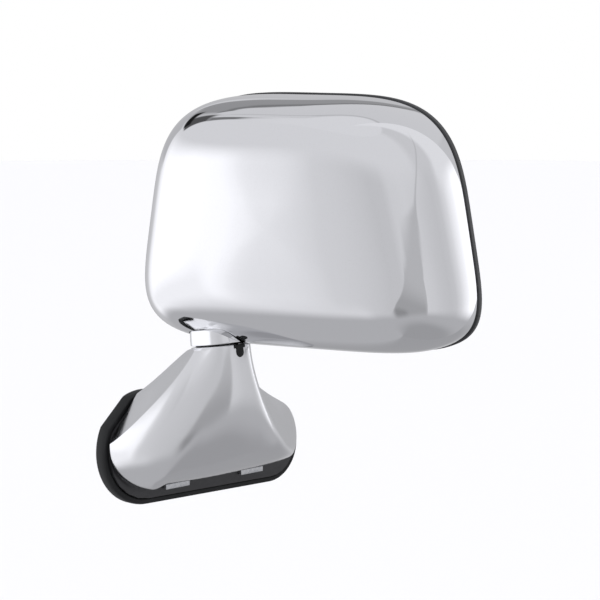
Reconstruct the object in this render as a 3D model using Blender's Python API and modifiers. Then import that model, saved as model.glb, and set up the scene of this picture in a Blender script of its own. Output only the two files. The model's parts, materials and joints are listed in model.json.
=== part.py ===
"""Folding door mirror of a pickup truck, left-hand side, in metres with +Z up.

The door's outer skin is the plane X = 0, and the mirror stands off it along +X. The front of the
vehicle is towards -Y, so the chrome shell faces -Y and the glass faces +Y. The origin is on the
sealing face of the foot. The head is modelled in its own frame, whose Z axis is the fold axis, whose
X axis runs outboard along the glass and whose Y axis points out of the glass.
"""

import math

import bmesh
import bpy
from mathutils import Matrix, Vector

MM = 0.001
GAP = 0.3 * MM  # between two pieces that touch

# Foot, in the plane of the door. Each outline is a band round two circles: (Y, Z, radius) in front and behind.
GASKET_ENDS = ((-52 * MM, -3.8 * MM, 35.6 * MM), (53 * MM, -16.2 * MM, 24.7 * MM))
COVER_ENDS = ((-54.6 * MM, 2 * MM, 30.6 * MM), (51 * MM, -5 * MM, 18.2 * MM))
COVER_LIFT = 3 * MM  # of its lower edge, over the clips
FLAT_WAY, FLAT_DEPTH = math.radians(133), 2.2 * MM  # straight edge in front, its way out and depth
LIP_WIDTH = 3.5 * MM
PLATE_CLEAR = 0.6 * MM  # between the plate's edge and the gasket's lip

# Foot, away from the door.
GASKET_FLOOR = 4.5 * MM
GASKET_LIP = 7.4 * MM
PLATE_BACK = GASKET_FLOOR + GAP
PLATE_FRONT = 8.4 * MM
CLIP_THICK = 1.0 * MM
COVER_EDGE = PLATE_FRONT + CLIP_THICK + 2 * GAP
COVER_WALL = 2.2 * MM
FACET_WAY = Vector((-0.2855, -0.755, 0.590)).normalized()  # out of the flat on the cover's front
FACET_REACH = 63.2 * MM  # of that flat from the origin

# Neck and fold pivot.
PIVOT_X, PIVOT_Y = 58 * MM, -38 * MM
NECK_HALF = 16.5 * MM
NECK_POWER = 2.6
CORNER_CHANGE = (-0.6, -0.6, 1.6, 0)  # of that power, corner by corner, by the middle of the cover
NECK_TOP = 63.6 * MM  # on the fold axis, which leans towards the door
NECK_LEAN = math.radians(8)
ROOF_HOLE = 12.5 * MM
PLATFORM_TOP = NECK_TOP - COVER_WALL - 1.8 * MM
PLATFORM_THICK = 10 * MM
PLATFORM_RADIUS = 11.8 * MM
BOLT_RADIUS = 4 * MM
BORE_RADIUS = 4.4 * MM
DETENT_THICK = 1.5 * MM
DETENT_RADIUS = 11 * MM
SEAL_THICK = 0.4 * MM
SEAL_RADIUS = 15 * MM
SWEEP_RADIUS = 18.6 * MM  # of the flat on the shell's underside that clears the cover as the head folds
COLLAR_TOP = 73.6 * MM
SHELF_LOW, SHELF_HIGH = 76 * MM, 79.2 * MM
HUB_TOP = 81 * MM
SPRING_TOP = 103 * MM

# Head, in its own frame.
HEAD_YAW, HEAD_ROLL = math.radians(20), math.radians(0.5)
HEAD_MIDDLE_X, HEAD_MIDDLE_Z = 49.7 * MM, 138 * MM
HEAD_HALF_WIDTH, HEAD_HALF_HEIGHT = 96.4 * MM, 75.2 * MM
HEAD_TAPER = 0.18  # half width lost for each unit of height
CORNER_POWERS = ((3.8, 4.25), (4.85, 4.3))  # top, bottom; each outboard, inboard
BEZEL_BACK = 38 * MM
RIM_BACK = 31 * MM  # where the chrome shell ends and the bezel's edge shows
SHELL_DEPTH = 66.5 * MM
SHELL_LEAN = 0.11  # depth gained for each unit of height
SHELL_CROWN = 5 * MM
SHELL_SIDE_POWER, SHELL_FACE_POWER = 4.85, 2.85
SHELL_WALL = 2.5 * MM
BRACKET_FRONT, BRACKET_BACK = -11 * MM, -8 * MM
GLASS_FACE, GLASS_THICK = 27 * MM, 2 * MM
GLASS_INSET = 13 * MM
BALL_Y = 10 * MM
BALL_RADIUS = 8 * MM
LINER_INNER, LINER_OUTER = 8.35 * MM, 9.95 * MM
SOCKET_RADIUS = 10.35 * MM
BOSS_SPOTS = ((-35, -22), (35, -22), (-35, 26), (35, 26))  # mm from the head's middle
MOUNT_SPOTS = ((-64, -4), (0, -8), (56, -12))  # mm, (Y, Z) of the screws into the door
CLIP_SPOTS = ((-31.4, 19.6), (32.3, 19.2))  # mm, (Y, length)
CLIP_LOW, CLIP_HIGH = -31.3 * MM, -28.1 * MM  # of the part that is folded out

CHROME = ((0.80, 0.80, 0.82), 0.06, 1.0)
ZINC = ((0.46, 0.47, 0.49), 0.45, 1.0)
BLACK_PAINT = ((0.03, 0.03, 0.032), 0.45, 0.0)
STEEL = ((0.60, 0.61, 0.63), 0.30, 1.0)
PASSIVATED = ((0.62, 0.55, 0.33), 0.38, 1.0)
BLACK_PLASTIC = ((0.025, 0.027, 0.028), 0.50, 0.0)
RUBBER = ((0.018, 0.019, 0.020), 0.75, 0.0)
NYLON = ((0.82, 0.80, 0.72), 0.45, 0.0)
FOAM = ((0.12, 0.12, 0.12), 0.90, 0.0)
SILVERED = ((0.88, 0.90, 0.91), 0.02, 1.0)


# ---------------------------------------------------------------- scene and helpers


def clear_scene():
    for obj in list(bpy.data.objects):
        bpy.data.objects.remove(obj, do_unlink=True)


def new_collection(name):
    made = bpy.data.collections.new(name)
    bpy.context.scene.collection.children.link(made)
    return made


def new_frame(name, matrix):
    """An empty that carries the pieces of one moving body."""
    empty = bpy.data.objects.new(name, None)
    PARTS.objects.link(empty)
    empty.matrix_world = matrix
    return empty


def material_of(finish):
    colour, roughness, metallic = finish
    name = "finish_{:.0f}_{:.0f}_{:.0f}".format(colour[0] * 1000, roughness * 100, metallic * 10)
    made = bpy.data.materials.get(name)
    if made is None:
        made = bpy.data.materials.new(name)
        made.use_nodes = True
        shader = made.node_tree.nodes["Principled BSDF"]
        shader.inputs["Base Color"].default_value = (*colour, 1)
        shader.inputs["Roughness"].default_value = roughness
        shader.inputs["Metallic"].default_value = metallic
    return made


def adopt(obj, name, finish, frame=None):
    """Names the object, gives it its material and hangs it and its tools on its frame."""
    obj.name = name
    obj.data.name = name
    for owner in list(obj.users_collection):
        owner.objects.unlink(obj)
    PARTS.objects.link(obj)
    obj.data.materials.clear()
    obj.data.materials.append(material_of(finish))
    obj.parent = frame
    for modifier in obj.modifiers:
        if modifier.type == "BOOLEAN":
            modifier.object.parent = frame
    obj.data.shade_smooth()
    obj.data.set_sharp_from_angle(angle=math.radians(35))
    return obj


def as_tool(obj, target, operation):
    """Adds obj to target, or takes it away, by a Boolean, and keeps it as a hidden wire."""
    for owner in list(obj.users_collection):
        owner.objects.unlink(obj)
    TOOLS.objects.link(obj)
    obj.hide_render = True
    obj.display_type = "WIRE"
    modifier = target.modifiers.new(operation.lower(), "BOOLEAN")
    modifier.operation = operation
    modifier.solver = "EXACT"
    modifier.object = obj


def cut(target, *tools):
    for tool in tools:
        as_tool(tool, target, "DIFFERENCE")


def join(target, *tools):
    for tool in tools:
        as_tool(tool, target, "UNION")


def cylinder(radius, low, high, centre=(0, 0), sides=24, turn=None):
    """A cylinder along Z from low to high, then turned as a whole by the matrix turn."""
    bpy.ops.mesh.primitive_cylinder_add(vertices=sides, radius=radius, depth=high - low)
    obj = bpy.context.object
    place = Matrix.Translation((*centre, (low + high) / 2))
    obj.data.transform((turn or Matrix.Identity(4)) @ place)
    return obj


def box(low, high):
    bpy.ops.mesh.primitive_cube_add(size=1)
    obj = bpy.context.object
    low, high = Vector(low), Vector(high)
    obj.data.transform(Matrix.Translation((low + high) / 2) @ Matrix.Diagonal((*(high - low), 1)))
    return obj


def prism(points, low, high, turn):
    """A flat outline, filled and extruded from low to high along its normal, as a mesh."""
    curve = bpy.data.curves.new("outline", "CURVE")
    curve.dimensions = "2D"
    curve.fill_mode = "BOTH"
    curve.extrude = (high - low) / 2
    spline = curve.splines.new("POLY")
    spline.points.add(len(points) - 1)
    for point, (x, y) in zip(spline.points, points):
        point.co = (x, y, 0, 1)
    spline.use_cyclic_u = True
    flat = bpy.data.objects.new("outline", curve)
    bpy.context.scene.collection.objects.link(flat)
    obj = mesh_of_curve(flat)
    obj.data.transform(turn @ Matrix.Translation((0, 0, (low + high) / 2)))
    return obj


def mesh_of_curve(curve_object):
    """The curve's solid as a mesh object with its caps welded on."""
    bpy.context.view_layer.update()
    graph = bpy.context.evaluated_depsgraph_get()
    mesh = bpy.data.meshes.new_from_object(curve_object.evaluated_get(graph))
    work = bmesh.new()
    work.from_mesh(mesh)
    bmesh.ops.remove_doubles(work, verts=work.verts, dist=1e-6)
    work.to_mesh(mesh)
    work.free()
    obj = bpy.data.objects.new("mesh", mesh)
    obj.matrix_world = curve_object.matrix_world
    bpy.context.scene.collection.objects.link(obj)
    bpy.data.objects.remove(curve_object)
    return obj


def turned(profile, sides=24, closed=False):
    """A profile of (radius, height), running down its outer side, turned about Z by a Screw."""
    mesh = bpy.data.meshes.new("profile")
    edges = [(i, i + 1) for i in range(len(profile) - 1)]
    if closed:
        edges.append((len(profile) - 1, 0))
    mesh.from_pydata([(r, 0, z) for r, z in profile], edges, [])
    obj = bpy.data.objects.new("profile", mesh)
    bpy.context.scene.collection.objects.link(obj)
    screw = obj.modifiers.new("turn", "SCREW")
    screw.steps = screw.render_steps = sides
    screw.use_merge_vertices = True
    screw.merge_threshold = 1e-6
    return obj


def coil(radius, wire, low, high, turns, steps, turn=None):
    """A helical spring along Z between two planes."""
    curve = bpy.data.curves.new("coil", "CURVE")
    curve.dimensions = "3D"
    curve.bevel_depth = wire / 2
    curve.bevel_resolution = 1
    curve.use_fill_caps = True
    spline = curve.splines.new("POLY")
    count = turns * steps + 1
    spline.points.add(count - 1)
    for i, point in enumerate(spline.points):
        angle = 2 * math.pi * i / steps
        rise = (low + wire / 2) + (high - low - wire) * i / (count - 1)
        point.co = (radius * math.cos(angle), radius * math.sin(angle), rise, 1)
    obj = mesh_of_curve(link(bpy.data.objects.new("coil", curve)))
    obj.data.transform(turn or Matrix.Identity(4))
    return obj


def link(obj):
    bpy.context.scene.collection.objects.link(obj)
    return obj


def loft(rings, closed=False, cap_first=False, cap_last=False, pole=None):
    """A surface through rings of equally many points, each ring running round the same way."""
    work = bmesh.new()
    rows = [[work.verts.new(point) for point in ring] for ring in rings]
    pairs = list(zip(rows, rows[1:]))
    if closed:
        pairs.append((rows[-1], rows[0]))
    for first, second in pairs:
        for i in range(len(first)):
            j = (i + 1) % len(first)
            work.faces.new((first[i], first[j], second[j], second[i]))
    if cap_first:
        work.faces.new(list(reversed(rows[0])))
    if cap_last:
        work.faces.new(rows[-1])
    if pole is not None:
        tip = work.verts.new(pole)
        for i in range(len(rows[-1])):
            work.faces.new((rows[-1][i], rows[-1][(i + 1) % len(rows[-1])], tip))
    bmesh.ops.recalc_face_normals(work, faces=work.faces)
    middle = sum((vert.co for vert in work.verts), Vector()) / len(work.verts)
    outward = sum(face.normal.dot(face.calc_center_median() - middle) * face.calc_area() for face in work.faces)
    if outward < 0:
        bmesh.ops.reverse_faces(work, faces=work.faces)
    mesh = bpy.data.meshes.new("loft")
    work.to_mesh(mesh)
    work.free()
    return link(bpy.data.objects.new("loft", mesh))


def thicken(obj, wall):
    """Grows an open surface inwards, against its normals, into a shell."""
    solid = obj.modifiers.new("wall", "SOLIDIFY")
    solid.thickness = wall
    solid.offset = -1
    solid.use_even_offset = True


ALONG_Y = Matrix.Rotation(math.radians(-90), 4, "X")  # local Z becomes the frame's +Y
ALONG_X = Matrix.Rotation(math.radians(90), 4, "Y")  # local Z becomes the frame's +X
DOOR_PLANE = Matrix(((0, 0, 1, 0), (1, 0, 0, 0), (0, 1, 0, 0), (0, 0, 0, 1)))  # (Y, Z) outline, out along X
SIDE_PLANE = Matrix(((1, 0, 0, 0), (0, 0, -1, 0), (0, 1, 0, 0), (0, 0, 0, 1)))  # (X, Z) outline, out along -Y


# ---------------------------------------------------------------- outlines


def foot_outline(ends, inset=0.0, steps=12):
    """A band round two circles in (Y, Z), counter-clockwise from the bottom of the rear circle. The front
    circle has a straight edge, where points beyond it are pulled back."""
    (front_y, front_z, front_r), (rear_y, rear_z, rear_r) = ends
    span = math.dist((front_y, front_z), (rear_y, rear_z))
    tilt = math.atan2(rear_z - front_z, rear_y - front_y)
    lean = math.asin((front_r - rear_r) / span)
    low, high = tilt - math.pi / 2 + lean, tilt + math.pi / 2 - lean
    points = []
    for y, z, radius, start, stop in (
        (rear_y, rear_z, rear_r - inset, low, high),
        (front_y, front_z, front_r - inset, high, low + 2 * math.pi),
    ):
        for i in range(steps + 1):
            angle = start + (stop - start) * i / steps
            beyond = radius * math.cos(angle - FLAT_WAY) - (radius - FLAT_DEPTH)
            pull = max(beyond, 0) if y == front_y else 0
            points.append((
                y + radius * math.cos(angle) - pull * math.cos(FLAT_WAY),
                z + radius * math.sin(angle) - pull * math.sin(FLAT_WAY),
            ))
    return points


def evenly(points, count, start):
    """count points at even distances round a closed outline, from the point at distance start."""
    closed = points + [points[0]]
    lengths = [math.dist(a, b) for a, b in zip(closed, closed[1:])]
    total = sum(lengths)
    found = []
    for i in range(count):
        left = (start + total * i / count) % total
        for (a, b), length in zip(zip(closed, closed[1:]), lengths):
            if left <= length and length > 0:
                share = left / length
                found.append((a[0] + share * (b[0] - a[0]), a[1] + share * (b[1] - a[1])))
                break
            left -= length
    return found


def neck_outline(half, count, power=NECK_POWER, change=0):
    """A square with very round sides, from the outboard side towards the rear. A change of 1 makes its
    corners differ as they do at the middle of the cover."""
    points = []
    for i in range(count):
        c = math.cos(2 * math.pi * i / count)
        s = math.sin(2 * math.pi * i / count)
        if change:
            power = NECK_POWER + change * CORNER_CHANGE[4 * i // count]
        reach = half / (abs(c) ** power + abs(s) ** power) ** (1 / power)
        points.append((reach * c, reach * s))
    return points


def corner_power(x, z):
    """How square the outline's corner is on that side of the head's middle."""
    return CORNER_POWERS[0 if z > 0 else 1][0 if x > 0 else 1]


def head_outline(inset=0.0, count=48):
    """The head's outline in (X, Z) from its middle: a tapered superellipse, counter-clockwise."""
    points = []
    for i in range(count):
        c = math.cos(2 * math.pi * i / count)
        s = math.sin(2 * math.pi * i / count)
        power = corner_power(c, s)
        z = math.copysign(abs(s) ** (2 / power), s) * (HEAD_HALF_HEIGHT - inset)
        half_width = HEAD_HALF_WIDTH - HEAD_TAPER * z - inset
        points.append((math.copysign(abs(c) ** (2 / power), c) * half_width, z))
    return points


def head_ring(points, y, scale=1.0):
    """An outline about the head's middle as points of the head's frame."""
    return [Vector((HEAD_MIDDLE_X + scale * x, y, HEAD_MIDDLE_Z + scale * z)) for x, z in points]


def shell_drop(reach, z):
    """How far the chrome face stands in front of the rim, at a share reach of the way to the outline."""
    face = (1 - reach**SHELL_SIDE_POWER) ** (1 / SHELL_FACE_POWER)
    return (SHELL_DEPTH + SHELL_LEAN * z) * face + SHELL_CROWN * (1 - reach**2)


def shell_front(x, z):
    """Y of the chrome face at (x, z) from the head's middle, found by halving."""
    inner, outer = 1e-6, 1.0
    power = corner_power(x, z)
    for _ in range(40):
        reach = (inner + outer) / 2
        half_width = HEAD_HALF_WIDTH - HEAD_TAPER * z / reach
        outside = (abs(x) / reach / half_width) ** power + (abs(z) / reach / HEAD_HALF_HEIGHT) ** power > 1
        inner, outer = (reach, outer) if outside else (inner, reach)
    return RIM_BACK - shell_drop(reach, z)


# ---------------------------------------------------------------- foot


def make_gasket():
    """Rubber pad with a rounded lip round a tray for the foot's plate."""
    bead = ((0, 0), (0, 0.55), (0.12, 0.85), (0.35, 1), (1, 1))  # share of the lip's width, of its height
    rings = []
    for inset, height in bead:
        outline = foot_outline(GASKET_ENDS, inset * LIP_WIDTH)
        rings.append([Vector((height * GASKET_LIP, y, z)) for y, z in outline])
    tray = foot_outline(GASKET_ENDS, LIP_WIDTH)
    rings.append([Vector((GASKET_FLOOR, y, z)) for y, z in tray])
    gasket = loft(rings, cap_first=True, cap_last=True)
    for y, z in MOUNT_SPOTS:
        hole = cylinder(3.6 * MM, -1 * MM, GASKET_LIP, (-z * MM, y * MM), 16, ALONG_X)
        cut(gasket, hole)
    return adopt(gasket, "door_gasket", RUBBER)


def make_foot_bracket():
    """Die-cast base: a plate against the gasket, a web and the platform that carries the head."""
    outline = foot_outline(GASKET_ENDS, LIP_WIDTH + PLATE_CLEAR)
    bracket = prism(outline, PLATE_BACK, PLATE_FRONT, DOOR_PLANE)
    underside = PLATFORM_TOP - PLATFORM_THICK
    stem = PIVOT_X - PLATFORM_RADIUS + 2 * MM
    web = (
        (PLATE_BACK + 1 * MM, -20 * MM),
        (32 * MM, -8 * MM),
        (stem, 14 * MM),
        (stem, underside + 2 * MM),
        (PIVOT_X, underside + 2 * MM),
        (PIVOT_X, PLATFORM_TOP - 2 * MM),
        (stem - 1 * MM, PLATFORM_TOP - 2 * MM),
        (34 * MM, 37 * MM),
        (19 * MM, 19 * MM),
        (PLATE_BACK + 1 * MM, 14 * MM),
    )
    web_half = 8 * MM
    rib = prism(web, -PIVOT_Y - web_half, -PIVOT_Y + web_half, SIDE_PLANE)
    platform = cylinder(PLATFORM_RADIUS, underside, PLATFORM_TOP, (0, 0), 28, NECK_PLACE)
    join(bracket, rib, platform)
    cut(bracket, cylinder(BORE_RADIUS, 0, NECK_TOP, (0, 0), 24, NECK_PLACE))
    for y, z in MOUNT_SPOTS:
        cut(bracket, cylinder(3.4 * MM, 0, 2 * PLATE_FRONT, (-z * MM, y * MM), 16, ALONG_X))
    return adopt(bracket, "foot_bracket", BLACK_PAINT)


def lifted(y, z, degrees):
    """A point of the cover's outline, raised where it runs over the clips, and further forward away from
    the edge."""
    away = min((90 - degrees) / 14, 1)
    front = min(max((y + (52 + 18 * away) * MM) / (14 * MM), 0), 1)
    low = min(max(-z / (20 * MM), 0), 1)
    rear = max((50 * MM - y) / (88 * MM), 0)
    return y, z + COVER_LIFT * front * front * (3 - 2 * front) * low * rear


def inset_ring(points, distance):
    """Moves each point of a counter-clockwise ring in, at right angles to its neighbours' line."""
    moved = []
    for i, (x, y) in enumerate(points):
        before, after = points[i - 1], points[(i + 1) % len(points)]
        along = Vector((after[0] - before[0], after[1] - before[1])).normalized()
        moved.append((x - distance * along.y, y + distance * along.x))
    return moved


def cover_ring(degrees, count, inset=0.0):
    """One section of the foot cover, from 0 at the neck to 90 at the door. Its plane turns about the line
    where the plane of the neck's top meets that of the cover's edge."""
    swing = math.radians(degrees)
    turn = swing * (1 + NECK_LEAN / (math.pi / 2)) - NECK_LEAN
    hinge = NECK_TOP - math.tan(NECK_LEAN) * (PIVOT_X - COVER_EDGE)
    neck = neck_outline(NECK_HALF, count, change=min(degrees / 45, 1))
    base = foot_outline(COVER_ENDS, 0, 16)
    bottom = math.dist(base[-1], base[0])
    base = [lifted(y, z, degrees) for y, z in evenly(base[-1:] + base[:-1], count, bottom / 2)]
    section = []
    for i, ((out, side), (y, z)) in enumerate(zip(neck, base)):
        outboard = math.cos(2 * math.pi * i / count)
        rearward = math.sin(2 * math.pi * i / count)
        toe = min(max((i / count - 0.64) / 0.12, 0), 1)
        toe = toe * toe * (3 - 2 * toe)
        blend = max(outboard, 0)
        blend = blend * blend * (3 - 2 * blend)
        inboard = max(-outboard, 0)
        lobe = max(rearward, 0) ** 2
        level, upright = (PIVOT_X - COVER_EDGE) / math.cos(NECK_LEAN) + out, hinge - z
        bulge = 1.13 - 0.18 * inboard * (1 - toe) + 1.6 * blend  # 1 is straight, 2 an ellipse
        bulge += (0.65 * toe + 0.5 * lobe) * (1 - blend)
        flare = 1.55 + 0.65 * rearward - inboard * max(rearward, -0.7 * rearward)  # more is later
        reach = ((math.cos(swing) / level) ** bulge + (math.sin(swing) / upright) ** bulge) ** (-1 / bulge)
        share = (reach * math.sin(swing) / upright) ** flare
        section.append((reach, (1 - share) * (PIVOT_Y + side) + share * y))
    return [
        Vector((COVER_EDGE + reach * math.cos(turn), across, hinge - reach * math.sin(turn)))
        for reach, across in inset_ring(section, inset)
    ]


def neck_ring(half, z, count, power=NECK_POWER):
    """A ring round the fold axis, at height z along it."""
    return [NECK_PLACE @ Vector((x, y, z)) for x, y in neck_outline(half, count, power)]


def beyond_facet(depth):
    """A block beyond the cover's flat, or beyond a plane so deep behind it."""
    block = box((-80 * MM, -80 * MM, 0), (80 * MM, 80 * MM, 40 * MM))
    turn = FACET_WAY.to_track_quat("Z", "Y").to_matrix().to_4x4()
    block.data.transform(Matrix.Translation(FACET_WAY * (FACET_REACH - depth)) @ turn)
    return block


def make_foot_cover():
    """Chrome boot over the bracket, from a hole in its roof at the neck down to the door."""
    count = 44
    rings = [
        neck_ring(NECK_HALF - 1.4 * MM, NECK_TOP, count),
        neck_ring(NECK_HALF - 0.4 * MM, NECK_TOP - 0.4 * MM, count),
    ]
    rings += [cover_ring(degrees, count) for degrees in (2, 7, 14, 22, 31, 40, 50, 60, 70, 80, 90)]
    cover = loft(rings, cap_first=True, cap_last=True)
    rings = [neck_ring(NECK_HALF - COVER_WALL, NECK_TOP - COVER_WALL, count)]
    rings += [cover_ring(degrees, count, COVER_WALL) for degrees in (8, 20, 30, 40, 50, 60, 70, 80, 90)]
    rings.append([point - Vector((1 * MM, 0, 0)) for point in rings[-1]])
    inside = loft(rings, cap_first=True, cap_last=True)
    cut(cover, beyond_facet(0))
    cut(inside, beyond_facet(COVER_WALL))
    hole = cylinder(ROOF_HOLE, NECK_TOP - 2 * COVER_WALL, NECK_TOP + 1 * MM, (0, 0), 36, NECK_PLACE)
    inner, outer = 12 * MM, 22 * MM
    low = NECK_TOP - 5 * MM
    notch = (
        cylinder(2.9 * MM, inner, outer, (-low, 0), 16, ALONG_X),
        box((inner, -2.9 * MM, low), (outer, 2.9 * MM, NECK_TOP + 5 * MM)),
        box((inner, -4.4 * MM, NECK_TOP - 2.4 * MM), (outer, 4.4 * MM, NECK_TOP + 5 * MM)),
    )
    for tool in notch:
        tool.data.transform(NECK_PLACE)
    cut(cover, inside, hole, *notch)
    return adopt(cover, "foot_cover", CHROME)


def make_notch_plug():
    """Rubber plug that fills the notch in the cover's outboard side."""
    radius, cap = 2.6 * MM, 4.1 * MM
    low, high = NECK_TOP - 5 * MM, NECK_TOP - 0.3 * MM
    outline = [
        (radius * math.cos(a), low + radius * math.sin(a))
        for a in (math.radians(180 + 180 * i / 8) for i in range(9))
    ]
    outline += [
        (radius, high - 1.8 * MM), (cap, high - 1.8 * MM), (cap, high),
        (-cap, high), (-cap, high - 1.8 * MM), (-radius, high - 1.8 * MM),
    ]
    plug = prism(outline, NECK_HALF - 1.9 * MM, NECK_HALF + 0.7 * MM, DOOR_PLANE)
    return adopt(plug, "notch_plug", RUBBER, PIVOT)


def make_clips():
    """Spring-steel strips between the plate and the cover's lower edge, folded forward under it."""
    back, face = PLATE_FRONT + GAP, PLATE_FRONT + GAP + CLIP_THICK
    profile = (
        (back, CLIP_LOW + 0.2 * MM),
        (face + 2 * MM, CLIP_LOW),
        (face + 2 * MM, CLIP_HIGH),
        (face, CLIP_HIGH + 0.4 * MM),
        (face, CLIP_HIGH + 8 * MM),
        (back, CLIP_HIGH + 8 * MM),
    )
    for number, (middle, length) in enumerate(CLIP_SPOTS, 1):
        start = -(middle + length / 2) * MM
        clip = prism(profile, start, start + length * MM, SIDE_PLANE)
        adopt(clip, f"cover_clip_{number}", STEEL)


def make_mounting_screws():
    """Flanged hexagon screws through the plate and the gasket into the door."""
    head_base = PLATE_FRONT + GAP
    for number, (y, z) in enumerate(MOUNT_SPOTS, 1):
        place = (-z * MM, y * MM)
        screw = cylinder(7 * MM, head_base, head_base + 1.2 * MM, place, 16, ALONG_X)
        hexagon = cylinder(5.6 * MM, head_base + 0.6 * MM, head_base + 5.2 * MM, place, 6, ALONG_X)
        shank = cylinder(3 * MM, -14 * MM, head_base + 1 * MM, place, 12, ALONG_X)
        join(screw, hexagon, shank)
        adopt(screw, f"mounting_screw_{number}", PASSIVATED)


# ---------------------------------------------------------------- fold pivot


def ring_profile(inner, outer, low, high):
    return ((inner, high), (outer, high), (outer, low), (inner, low))


def make_washer(name, inner, outer, low, high, finish, frame, sides=24):
    washer = turned(ring_profile(inner, outer, low, high), sides, closed=True)
    return adopt(washer, name, finish, frame)


def notched_ring(name, low, high, notch_low, notch_high, frame):
    """A detent ring: a washer with four shallow notches across one face."""
    ring = cylinder(DETENT_RADIUS, low, high, (0, 0), 32)
    cut(ring, cylinder(BORE_RADIUS, low - 1 * MM, high + 1 * MM, (0, 0), 24))
    half, reach = 1.1 * MM, DETENT_RADIUS + 1 * MM
    for step in range(2):
        bar = box((-reach, -half, notch_low), (reach, half, notch_high))
        bar.data.transform(Matrix.Rotation(step * math.pi / 2, 4, "Z"))
        cut(ring, bar)
    return adopt(ring, name, STEEL, frame)


def make_fold_pivot():
    """The bolt that the head turns on, with the spring inside the head that holds it on its detents."""
    low = PLATFORM_TOP + GAP
    middle = low + DETENT_THICK + GAP
    high = middle + DETENT_THICK
    notch = 0.5 * MM
    notched_ring("detent_ring_lower", low, middle - GAP, middle - GAP - notch, middle, PIVOT)
    notched_ring("detent_ring_upper", middle, high, middle - GAP, middle + notch, PIVOT)
    thick, radius = 1.2 * MM, 7.6 * MM
    seat = HUB_TOP + GAP + thick
    make_washer("spring_seat_lower", BORE_RADIUS, radius, HUB_TOP + GAP, seat, STEEL, PIVOT)
    spring = coil(6.2 * MM, 2 * MM, seat + GAP, SPRING_TOP - GAP, 6, 12)
    adopt(spring, "fold_spring", STEEL, PIVOT)
    make_washer("spring_seat_upper", BORE_RADIUS, radius, SPRING_TOP, SPRING_TOP + thick, STEEL, PIVOT)
    nut_low = SPRING_TOP + thick + GAP
    nut = cylinder(7.5 * MM, nut_low, nut_low + 6.5 * MM, (0, 0), 6)
    cut(nut, cylinder(BORE_RADIUS, nut_low - 1 * MM, nut_low + 8 * MM, (0, 0), 20))
    adopt(nut, "pivot_nut", PASSIVATED, PIVOT)
    underside = PLATFORM_TOP - PLATFORM_THICK - GAP
    bolt = cylinder(7.5 * MM, underside - 5.3 * MM, underside, (0, 0), 6)
    join(bolt, cylinder(BOLT_RADIUS, underside - 2 * MM, nut_low + 9 * MM, (0, 0), 20))
    adopt(bolt, "pivot_bolt", PASSIVATED, PIVOT)


def make_neck():
    """The rubber seal on the foot's roof and the chrome collar that rises from it into the shell."""
    count = 40
    low = NECK_TOP + GAP
    high = low + SEAL_THICK
    make_washer("neck_seal", ROOF_HOLE - 0.5 * MM, SEAL_RADIUS, low, high, RUBBER, PIVOT, 32)
    low = high + GAP
    wall = 2.2 * MM
    steps = (
        (NECK_HALF - 0.5 * MM, low), (NECK_HALF, low + 0.5 * MM), (NECK_HALF - 0.2 * MM, low + 6 * MM),
        (NECK_HALF - 0.4 * MM, COLLAR_TOP), (NECK_HALF - 0.4 * MM - wall, COLLAR_TOP),
        (NECK_HALF - 0.5 * MM - wall, low),
    )
    rings = [[Vector((x, y, z)) for x, y in neck_outline(half, count)] for half, z in steps]
    adopt(loft(rings, closed=True), "neck_collar", CHROME, PIVOT)


# ---------------------------------------------------------------- head


def make_head_bracket():
    """Hub on the detent ring, a shelf through the neck and the plate that carries shell and ball joint."""
    stem_half = 12
    outline = (
        (-stem_half, SHELF_LOW / MM), (stem_half, SHELF_LOW / MM), (30, 92), (62, 98), (93, 105),
        (95, 122), (80, 135), (94, 158), (92, 173), (76, 173), (60, 157), (38, 157), (22, 173), (6, 173),
        (4, 158), (18, 135), (3, 122), (-12, 104),
    )
    points = [(x * MM, z * MM) for x, z in outline]
    bracket = prism(points, -BRACKET_BACK, -BRACKET_FRONT, SIDE_PLANE)
    hub_low = PLATFORM_TOP + 3 * GAP + 2 * DETENT_THICK
    to_head = HEAD.matrix_world.inverted() @ NECK_PLACE
    hub = cylinder(DETENT_RADIUS, hub_low, COLLAR_TOP - 3 * MM, (0, 0), 28, to_head)
    neck = cylinder(8 * MM, hub_low + 2 * MM, HUB_TOP, (0, 0), 24, to_head)
    shelf = box((-stem_half * MM, BRACKET_FRONT, SHELF_LOW), (stem_half * MM, 6 * MM, SHELF_HIGH))
    join(bracket, hub, neck, shelf)
    cut(bracket, cylinder(BORE_RADIUS, hub_low - 1 * MM, HUB_TOP + 4 * MM, (0, 0), 20, to_head))
    holes = [(HEAD_MIDDLE_X, HEAD_MIDDLE_Z, 3.4 * MM)]
    holes += [(HEAD_MIDDLE_X + x * MM, HEAD_MIDDLE_Z + z * MM, 2.2 * MM) for x, z in BOSS_SPOTS]
    for x, z, radius in holes:
        cut(bracket, cylinder(radius, -20 * MM, 0, (x, -z), 16, ALONG_Y))
    return adopt(bracket, "head_bracket", ZINC, HEAD)


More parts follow.
